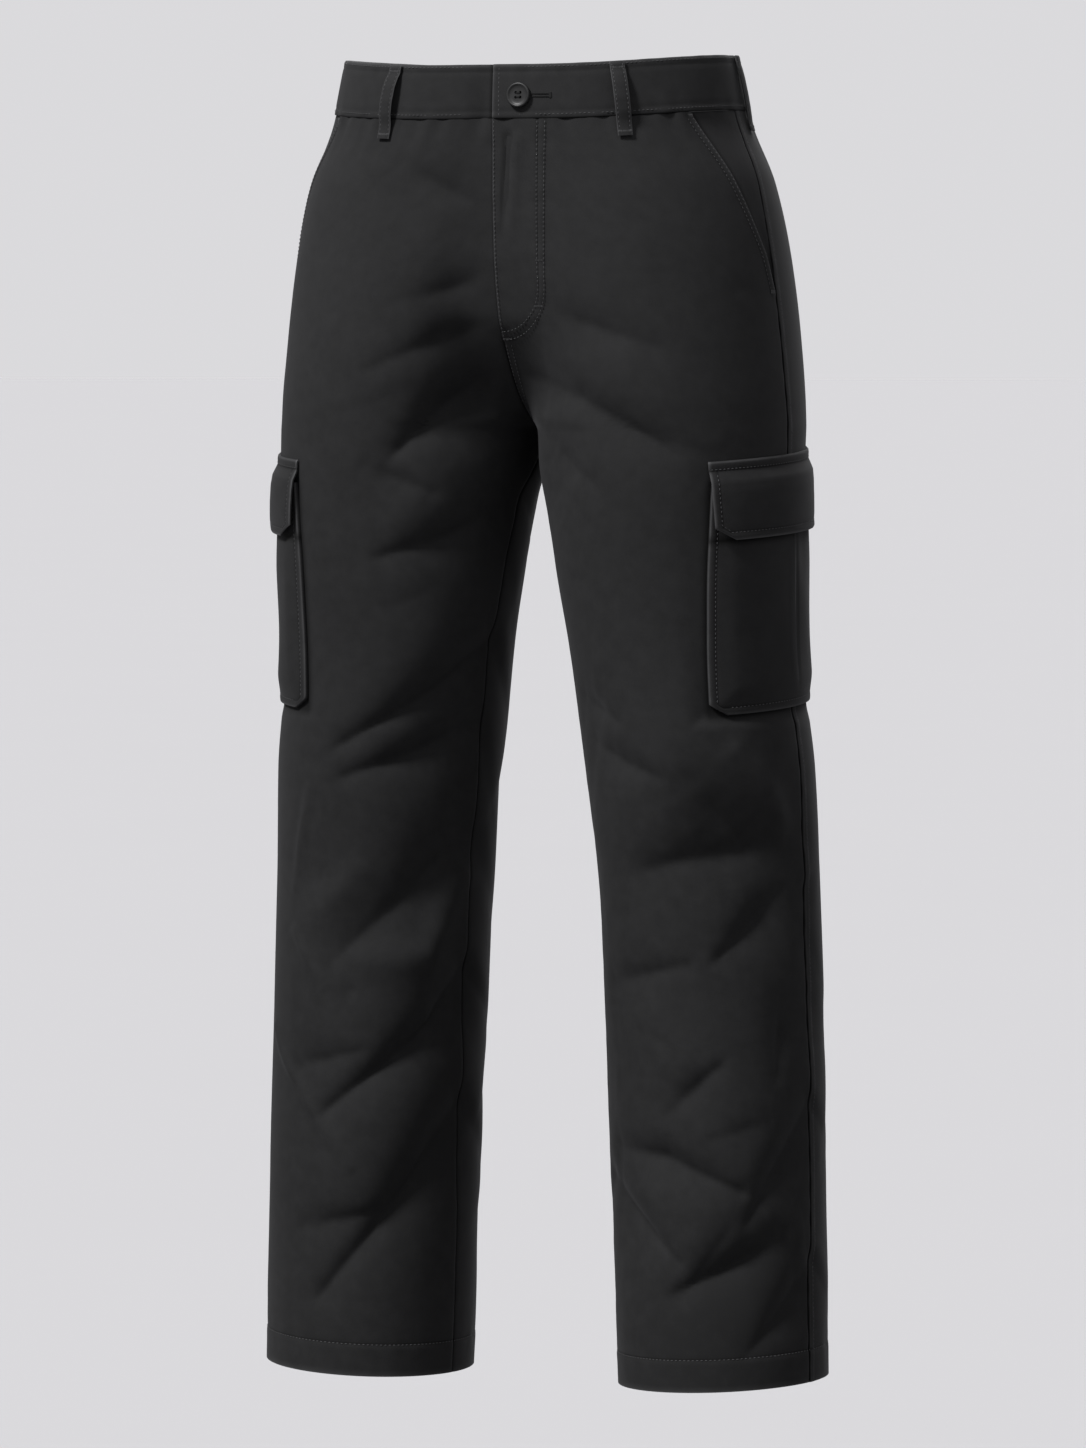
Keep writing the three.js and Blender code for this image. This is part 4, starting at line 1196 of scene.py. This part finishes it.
def cargo_pocket(side, leg):
    w, v, rise_w, rise_v = pocket_grid()
    half, deep = POCKET["half"], POCKET["top"] - POCKET["bottom"]
    grid_w, grid_v = np.meshgrid(w, v)
    cut = POCKET["chamfer"] * np.clip((grid_v - deep + POCKET["chamfer_up"]) / POCKET["chamfer_up"], 0, 1)
    place_w = grid_w * (half - cut) / half
    edge = np.minimum(half - np.abs(grid_w), deep - grid_v)
    high = pocket_height(edge, grid_w, grid_v) - 0.9 * bump_line(grid_v, 0, 1.2)
    out = np.minimum(high, np.minimum(rise_w[None, :], rise_v[:, None]))
    c = POCKET_SEAM_C + place_w
    z = tilted(POCKET["top"] - grid_v, c)
    points = cloth(leg, z, c, out)[::-1]
    uv = np.stack([place_w * leg, -grid_v], axis=-1)[::-1]
    # Paler rubbed edge with a painted highlight; painted shade in the stitch groove, under the flap's edge and
    # along the pocket's foot.
    wear_and_painted_light = 0.7 * bump_line(edge, 0.5, 0.7) - 0.45 * bump_line(edge, STITCH_INSET + 0.3, 0.7)
    wear_and_painted_light = wear_and_painted_light - 0.8 * bump_line(grid_v, UNDER_FLAP, 3) - 0.5 * (edge < 0.07)
    wear_and_painted_light = wear_and_painted_light - POCKET_TONE * smooth((edge - 1.5) / 3)
    name = "cargo_pocket_" + side
    piece = grid_piece(name + "_cloth", TWILL, mirrored(points, leg), uv, wear_and_painted_light=wear_and_painted_light[::-1], thick=0.9)
    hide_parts(name)
    seam = Seam(name + "_stitches")
    reach = half - STITCH_INSET
    down = np.linspace(2, deep - POCKET["chamfer_up"] - 2, 60)
    corner = (reach - POCKET["chamfer"] + 2, deep - STITCH_INSET)
    path = [(-reach, d) for d in down] + [(-corner[0], corner[1])]
    path += [(t, corner[1]) for t in np.linspace(-corner[0], corner[0], 60)]
    path += [(reach, d) for d in down[::-1]]
    line_w, line_v = np.array(path).T
    gap = np.minimum(half - np.abs(line_w), deep - line_v)
    lift = pocket_height(gap, line_w, line_v) + 0.1
    line_c = POCKET_SEAM_C + line_w
    seam.line(*on_cloth(leg, tilted(POCKET["top"] - line_v, line_c), line_c, lift))
    seam.finish()


FLAP_RISE = table(
    "down out",
    [
        (0, 1.2), (1, 2.2), (3, 2.6), (6, 2.5), (7.5, 2.4), (10, 3.6),
        (16, 6.6), (24, 8.0), (37, 9.0), (50, 9.4), (62, 9.4),
    ],
)


def flap_height(w, d, edge):
    base = np.interp(d, FLAP_RISE["down"], FLAP_RISE["out"])
    sag = 0.5 * np.sin(w / 23 + 0.7) * smooth((d - 8) / 20)
    sag = sag + 0.35 * np.sin(w / 11) * smooth((d - 20) / 30)
    groove = -0.4 * bump_line(edge, STITCH_INSET, 1.0)
    groove = groove + 0.25 * (1 - smooth((edge - STITCH_INSET) / 1.0))
    rolled = -0.7 * bump_line(edge, 0, 0.8)
    return base + sag * smooth(edge / 8) + (groove + rolled) * smooth((d - 6) / 4)


def flap_place(w, d):
    half = FLAP["half"]
    narrow = FLAP["taper"] * d / FLAP["down"]
    start = FLAP["down"] - FLAP["chamfer_up"]
    cut = FLAP["chamfer"] * np.clip((d - start) / FLAP["chamfer_up"], 0, 1)
    return w * (half - narrow - cut) / half


def cargo_flap(side, leg):
    half, down = FLAP["half"], FLAP["down"]
    near = np.array([0, 0.4, 1.2, 2.6, 4.4, 5.4, 6, 6.6, 7.8])
    w = np.concatenate([-half + near, np.arange(-half + 10, half - 9, 2.6), (half - near)[::-1]])
    top = [0, 0.4, 1, 2, 3.4, 5, 6.2, 7.2, 8.4, 10, 12, 14, 16]
    d = np.concatenate([top, np.arange(18.5, down - 9, 2.5), (down - near)[::-1]])
    grid_w, grid_d = np.meshgrid(w, d)
    edge = np.minimum(half - np.abs(grid_w), down - grid_d)
    place_w = flap_place(grid_w, grid_d)
    c = POCKET_SEAM_C + place_w
    points = cloth(leg, tilted(FLAP["top"] - grid_d, c), c, flap_height(grid_w, grid_d, edge))[::-1]
    uv = np.stack([place_w * leg, -grid_d], axis=-1)[::-1]
    # Paler edges and top fold, wear with a painted highlight; painted shade in the stitch groove and along the
    # top band's line.
    wear_and_painted_light = 0.75 * bump_line(edge, 0.5, 0.8) + 0.5 * bump_line(grid_d, 1.0, 1.0)
    wear_and_painted_light = wear_and_painted_light - FLAP_TONE * smooth((edge - 1.5) / 3)
    wear_and_painted_light = wear_and_painted_light - 0.45 * bump_line(edge, STITCH_INSET + 0.3, 0.7) * (grid_d > 8)
    wear_and_painted_light = wear_and_painted_light - 0.7 * bump_line(grid_d, 7.2, 0.9)
    name = "cargo_flap_" + side
    piece = grid_piece(
        name + "_cloth",
        TRIM,
        mirrored(points, leg),
        uv,
        wear_and_painted_light=wear_and_painted_light[::-1],
        thick=TRIM_CLOTH,
    )
    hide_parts(name)
    seam = Seam(name + "_stitches")
    reach = half - STITCH_INSET
    rows = np.linspace(9, down - FLAP["chamfer_up"] - 2, 24)
    path = [(-reach, t) for t in rows]
    path += [(t, down - STITCH_INSET) for t in np.linspace(-reach + 2, reach - 2, 70)]
    path += [(reach, t) for t in rows[::-1]]
    for line in (path, [(t, 6.4) for t in np.linspace(-half + 1, half - 1, 70)]):
        line_w, line_d = np.array(line).T
        gap = np.minimum(half - np.abs(line_w), down - line_d)
        line_c = POCKET_SEAM_C + flap_place(line_w, line_d)
        lift = flap_height(line_w, line_d, gap) + 0.1
        seam.line(*on_cloth(leg, tilted(FLAP["top"] - line_d, line_c), line_c, lift))
    seam.finish()


LOOP_RUN = table(
    "z out",
    [
        (-0.5, 1.6), (-2, 2.2), (-5, 2.1), (-7, 2.1), (-11, 4.0), (-18, 5.8),
        (-30, 6.2), (-40, 4.8), (-48, 2.0), (-53, 1.2), (-57, 1.2), (-59.5, 1.0),
    ],
)
FRONT_LOOPS = {"left": (98, 9), "right": (82, 10)}


def front_loop_place(top, drift):
    return lambda z: total_at(FRONT_TOTALS, z) - top - drift * np.clip(-z / 59, 0, 1)


def belt_loop(name, leg, c_at, bow=1.0):
    """A loop of pressed cloth, stitched along both edges and across both ends."""
    top, foot = [-0.5, -0.9, -2, -4, -5.6, -7], [-54, -56, -58, -59, -59.5]
    z = np.concatenate([top, np.linspace(-9, -52, 24), foot])
    t = np.array([-1, -0.96, -0.84, -0.7, -0.6, -0.4, 0, 0.4, 0.6, 0.7, 0.84, 0.96, 1])
    grid_z, grid_t = np.meshgrid(z, t, indexing="ij")
    base = np.interp(-grid_z, -LOOP_RUN["z"], LOOP_RUN["out"])
    base = np.minimum(base, 2) + bow * np.maximum(base - 2, 0)
    aside = np.abs(grid_t)
    crown = 0.3 * (1 - grid_t**2) - 0.3 * bump_line(aside, 0.7, 0.09) - 0.4 * bump_line(aside, 1, 0.05)
    offset = grid_t * LOOP_WIDTH / 2
    if leg == 0:
        c = -total_at(BACK_TOTALS, grid_z) + np.abs(offset)
        points = cloth(1, grid_z, c, base + 1.5 + crown)
        points[..., 0] = np.abs(points[..., 0]) * np.sign(offset + 1e-12)
        points[..., 0] = np.where(np.abs(offset) < 1e-9, 0, points[..., 0])
    else:
        c = c_at(grid_z) + offset
        points = mirrored(cloth(leg, grid_z, c, base + 1.5 + crown), leg)
    uv = np.stack([offset, grid_z], axis=-1)
    # Paler edges and top fold: wear, with a painted highlight.
    wear_and_painted_light = 0.6 * bump_line(aside, 0.98, 0.1) + 0.5 * bump_line(grid_z, -0.8, 1.2)
    piece = grid_piece(
        name + "_cloth", TRIM, points[::-1], uv[::-1], wear_and_painted_light=wear_and_painted_light[::-1], thick=1.3
    )
    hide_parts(name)
    seam = Seam(name + "_stitches")
    normals = grid_normals(points)
    away = points.mean(axis=(0, 1)) * [1, 1, 0]
    normals = normals * np.sign((normals.mean(axis=(0, 1)) * away).sum())
    for column in (3, 9):
        seam.line(points[2:-2, column] + normals[2:-2, column] * 0.1, normals[2:-2, column])
    for row in (4, -4):
        for column in np.linspace(1, 11, 12):
            k = int(round(column))
            at = mix(points[row, 0], points[row, -1], column / 12)
            lift = normals[row, k] * (0.35 + 0.3 * (1 - (2 * column / 12 - 1) ** 2))
            along = points[row - 1, k] - points[row + 1, k]
            seam.stitch(at + lift, along, normals[row, k], length=2.2, wide=0.75)
    seam.finish()


def on_band(along, down, out):
    """A point over the waistband's left half, and the normal there."""
    z, c = waistband_points(np.array([along]), np.array([down]))
    low, high = cloth(1, z, c, out)[0], cloth(1, z, c, out + 1)[0]
    return low, high - low


def button():
    """Rimmed four-hole button with its thread, and the buttonhole's worked edge."""
    middle = -BUTTON["z"] - WAIST_DIP["front"]
    seat, out = on_band(BUTTON["x"], middle, 1.9)
    turn = Vector(out).to_track_quat("Z", "X").to_matrix().to_4x4()
    frame_of_button = Matrix.Translation(Vector(seat) * MM) @ turn
    radius, thick = BUTTON["radius"], BUTTON["thick"]
    profile = [
        (0.01, 0), (radius - 1.4, 0), (radius - 0.4, 0.35), (radius, 1.0), (radius, thick - 1.1),
        (radius - 0.35, thick - 0.3), (radius - 1.0, thick), (radius - 1.7, thick - 0.15),
        (radius - 2.2, thick - 0.7), (radius - 3.2, thick - 1.05), (radius - 5, thick - 1.15),
        (0.01, thick - 1.1),
    ]
    bm = bmesh.new()
    ring = [bm.verts.new((r, 0, h)) for r, h in profile]
    edges = [bm.edges.new(pair) for pair in zip(ring, ring[1:])]
    bmesh.ops.spin(
        bm, geom=ring + edges, cent=(0, 0, 0), axis=(0, 0, 1), angle=2 * math.pi, steps=72, use_merge=True
    )
    bmesh.ops.remove_doubles(bm, verts=bm.verts, dist=0.03)
    bmesh.ops.recalc_face_normals(bm, faces=bm.faces)
    bmesh.ops.scale(bm, vec=(MM, MM, MM), verts=bm.verts)
    piece = placed("button_disc", mesh_from(bm, "button_disc"))
    drill = bmesh.new()
    for k in range(4):
        angle = (k + 0.5) * math.pi / 2
        at = (BUTTON["ring"] * math.cos(angle) * MM, BUTTON["ring"] * math.sin(angle) * MM, 0.0017)
        bmesh.ops.create_cone(
            drill, cap_ends=True, segments=20, radius1=BUTTON["hole"] * MM, radius2=BUTTON["hole"] * MM,
            depth=0.012, matrix=Matrix.Translation(at),
        )
    drill_piece = placed("button_drill", mesh_from(drill, "button_drill"))
    cut = piece.modifiers.new("holes", "BOOLEAN")
    cut.operation, cut.object, cut.solver = "DIFFERENCE", drill_piece, "EXACT"
    bpy.context.view_layer.update()
    settle(piece)
    bpy.data.objects.remove(drill_piece)
    piece.data.transform(frame_of_button)
    piece.data.materials.clear()
    piece.data.materials.append(HORN)
    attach(piece, "root")
    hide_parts("button")

    seam = Seam("button_thread", DARK_THREAD)
    place = lambda x, y, h: np.array(frame_of_button @ Vector((x * MM, y * MM, h * MM))) / MM
    for side in (-1, 1):
        for strand in (-0.45, 0, 0.45):
            a = place(side * 1.55 + strand, 1.7, thick - 0.75)
            b = place(side * 1.55 + strand, -1.7, thick - 0.75)
            seam.stitch((a + b) / 2, b - a, out, length=4.2, wide=0.5, high=0.6)
    seam.finish()

    hole = Seam("buttonhole_stitches", DARK_THREAD)
    for k in range(26):
        along = BUTTON["x"] + 10.5 + 0.55 * k
        for side in (-1, 1):
            low, up = on_band(along, middle + side * 1.15, 1.75)
            hole.stitch(low, (0, 0, 1), up, length=1.7, wide=0.55)
    for k in range(6):
        low, up = on_band(BUTTON["x"] + 25.2, middle - 2.0 + 0.8 * k, 1.85)
        hole.stitch(low, (1, 0.2, 0), up, length=2.6, wide=0.8)
    hole.finish()


def place_camera():
    sine, cosine = math.sin(CAMERA_TURN), math.cos(CAMERA_TURN)
    eye = Vector((sine * CAMERA_FAR, -cosine * CAMERA_FAR, CAMERA_HEIGHT))
    aim = Vector((0, 0, AIM_HEIGHT))
    data = bpy.data.cameras.new("camera")
    data.sensor_width = SENSOR
    data.lens = SENSOR * (eye - aim).length / VIEW_HEIGHT
    camera = placed("camera", data)
    camera.location = eye * MM
    look = (aim - eye).to_track_quat("-Z", "Y").to_matrix() @ Matrix.Rotation(CAMERA_ROLL, 3, "Z")
    camera.rotation_euler = look.to_euler()
    bpy.context.scene.camera = camera


# The pale backdrop, and soft lights: turn (0 in front of the garment), height, strength, softness
BACKDROP = (0.706, 0.701, 0.719, 1)
SUNS = (
    ("key", -35, 48, 11.0, 12),
    ("fill", 50, 45, 1.2, 40),
    ("back_light", 183, 42, 4.2, 40),
)


def sun(name, turn, height, strength, soft):
    data = bpy.data.lights.new(name, "SUN")
    data.energy, data.angle = strength, math.radians(soft)
    lamp = placed(name, data)
    a, e = math.radians(turn), math.radians(height)
    source = Vector((math.sin(a) * math.cos(e), -math.cos(a) * math.cos(e), math.sin(e)))
    lamp.rotation_euler = source.to_track_quat("Z", "Y").to_euler()


FLOOR_Z = -1.75
FLOOR_SIZE = 120


def studio_stage():
    bm = bmesh.new()
    bmesh.ops.create_grid(bm, x_segments=1, y_segments=1, size=FLOOR_SIZE)
    bmesh.ops.translate(bm, vec=(0, 0, FLOOR_Z), verts=bm.verts)
    mesh = mesh_from(bm, "floor")
    lit = sum(strength * math.sin(math.radians(height)) for _, _, height, strength, _ in SUNS)
    share = BACKDROP[0] / (BACKDROP[0] + lit / math.pi)
    mesh.materials.append(studio("pale_floor", (share, share * 0.993, share * 1.018, 1)))
    floor = placed("floor", mesh)
    world = bpy.data.worlds.new("studio")
    bpy.context.scene.world = world
    world.use_nodes = True
    world.node_tree.nodes["Background"].inputs["Color"].default_value = BACKDROP
    for lamp in SUNS:
        sun(*lamp)
    bpy.context.scene.view_settings.view_transform = "Standard"


place_camera()
studio_stage()
waistband()
fly()
for side, leg in (("left", 1), ("right", -1)):
    trouser_panels(side, leg)
    hip_facing(side, leg)
    cargo_pocket(side, leg)
    cargo_flap(side, leg)
    top, drift = FRONT_LOOPS[side]
    belt_loop("belt_loop_front_" + side, leg, front_loop_place(top, drift))
    belt_loop("belt_loop_side_" + side, leg, lambda z: -8 + 0 * z, bow=0.3)
belt_loop("belt_loop_back", 0, None)
back_seams()
hem_stitches()
button()
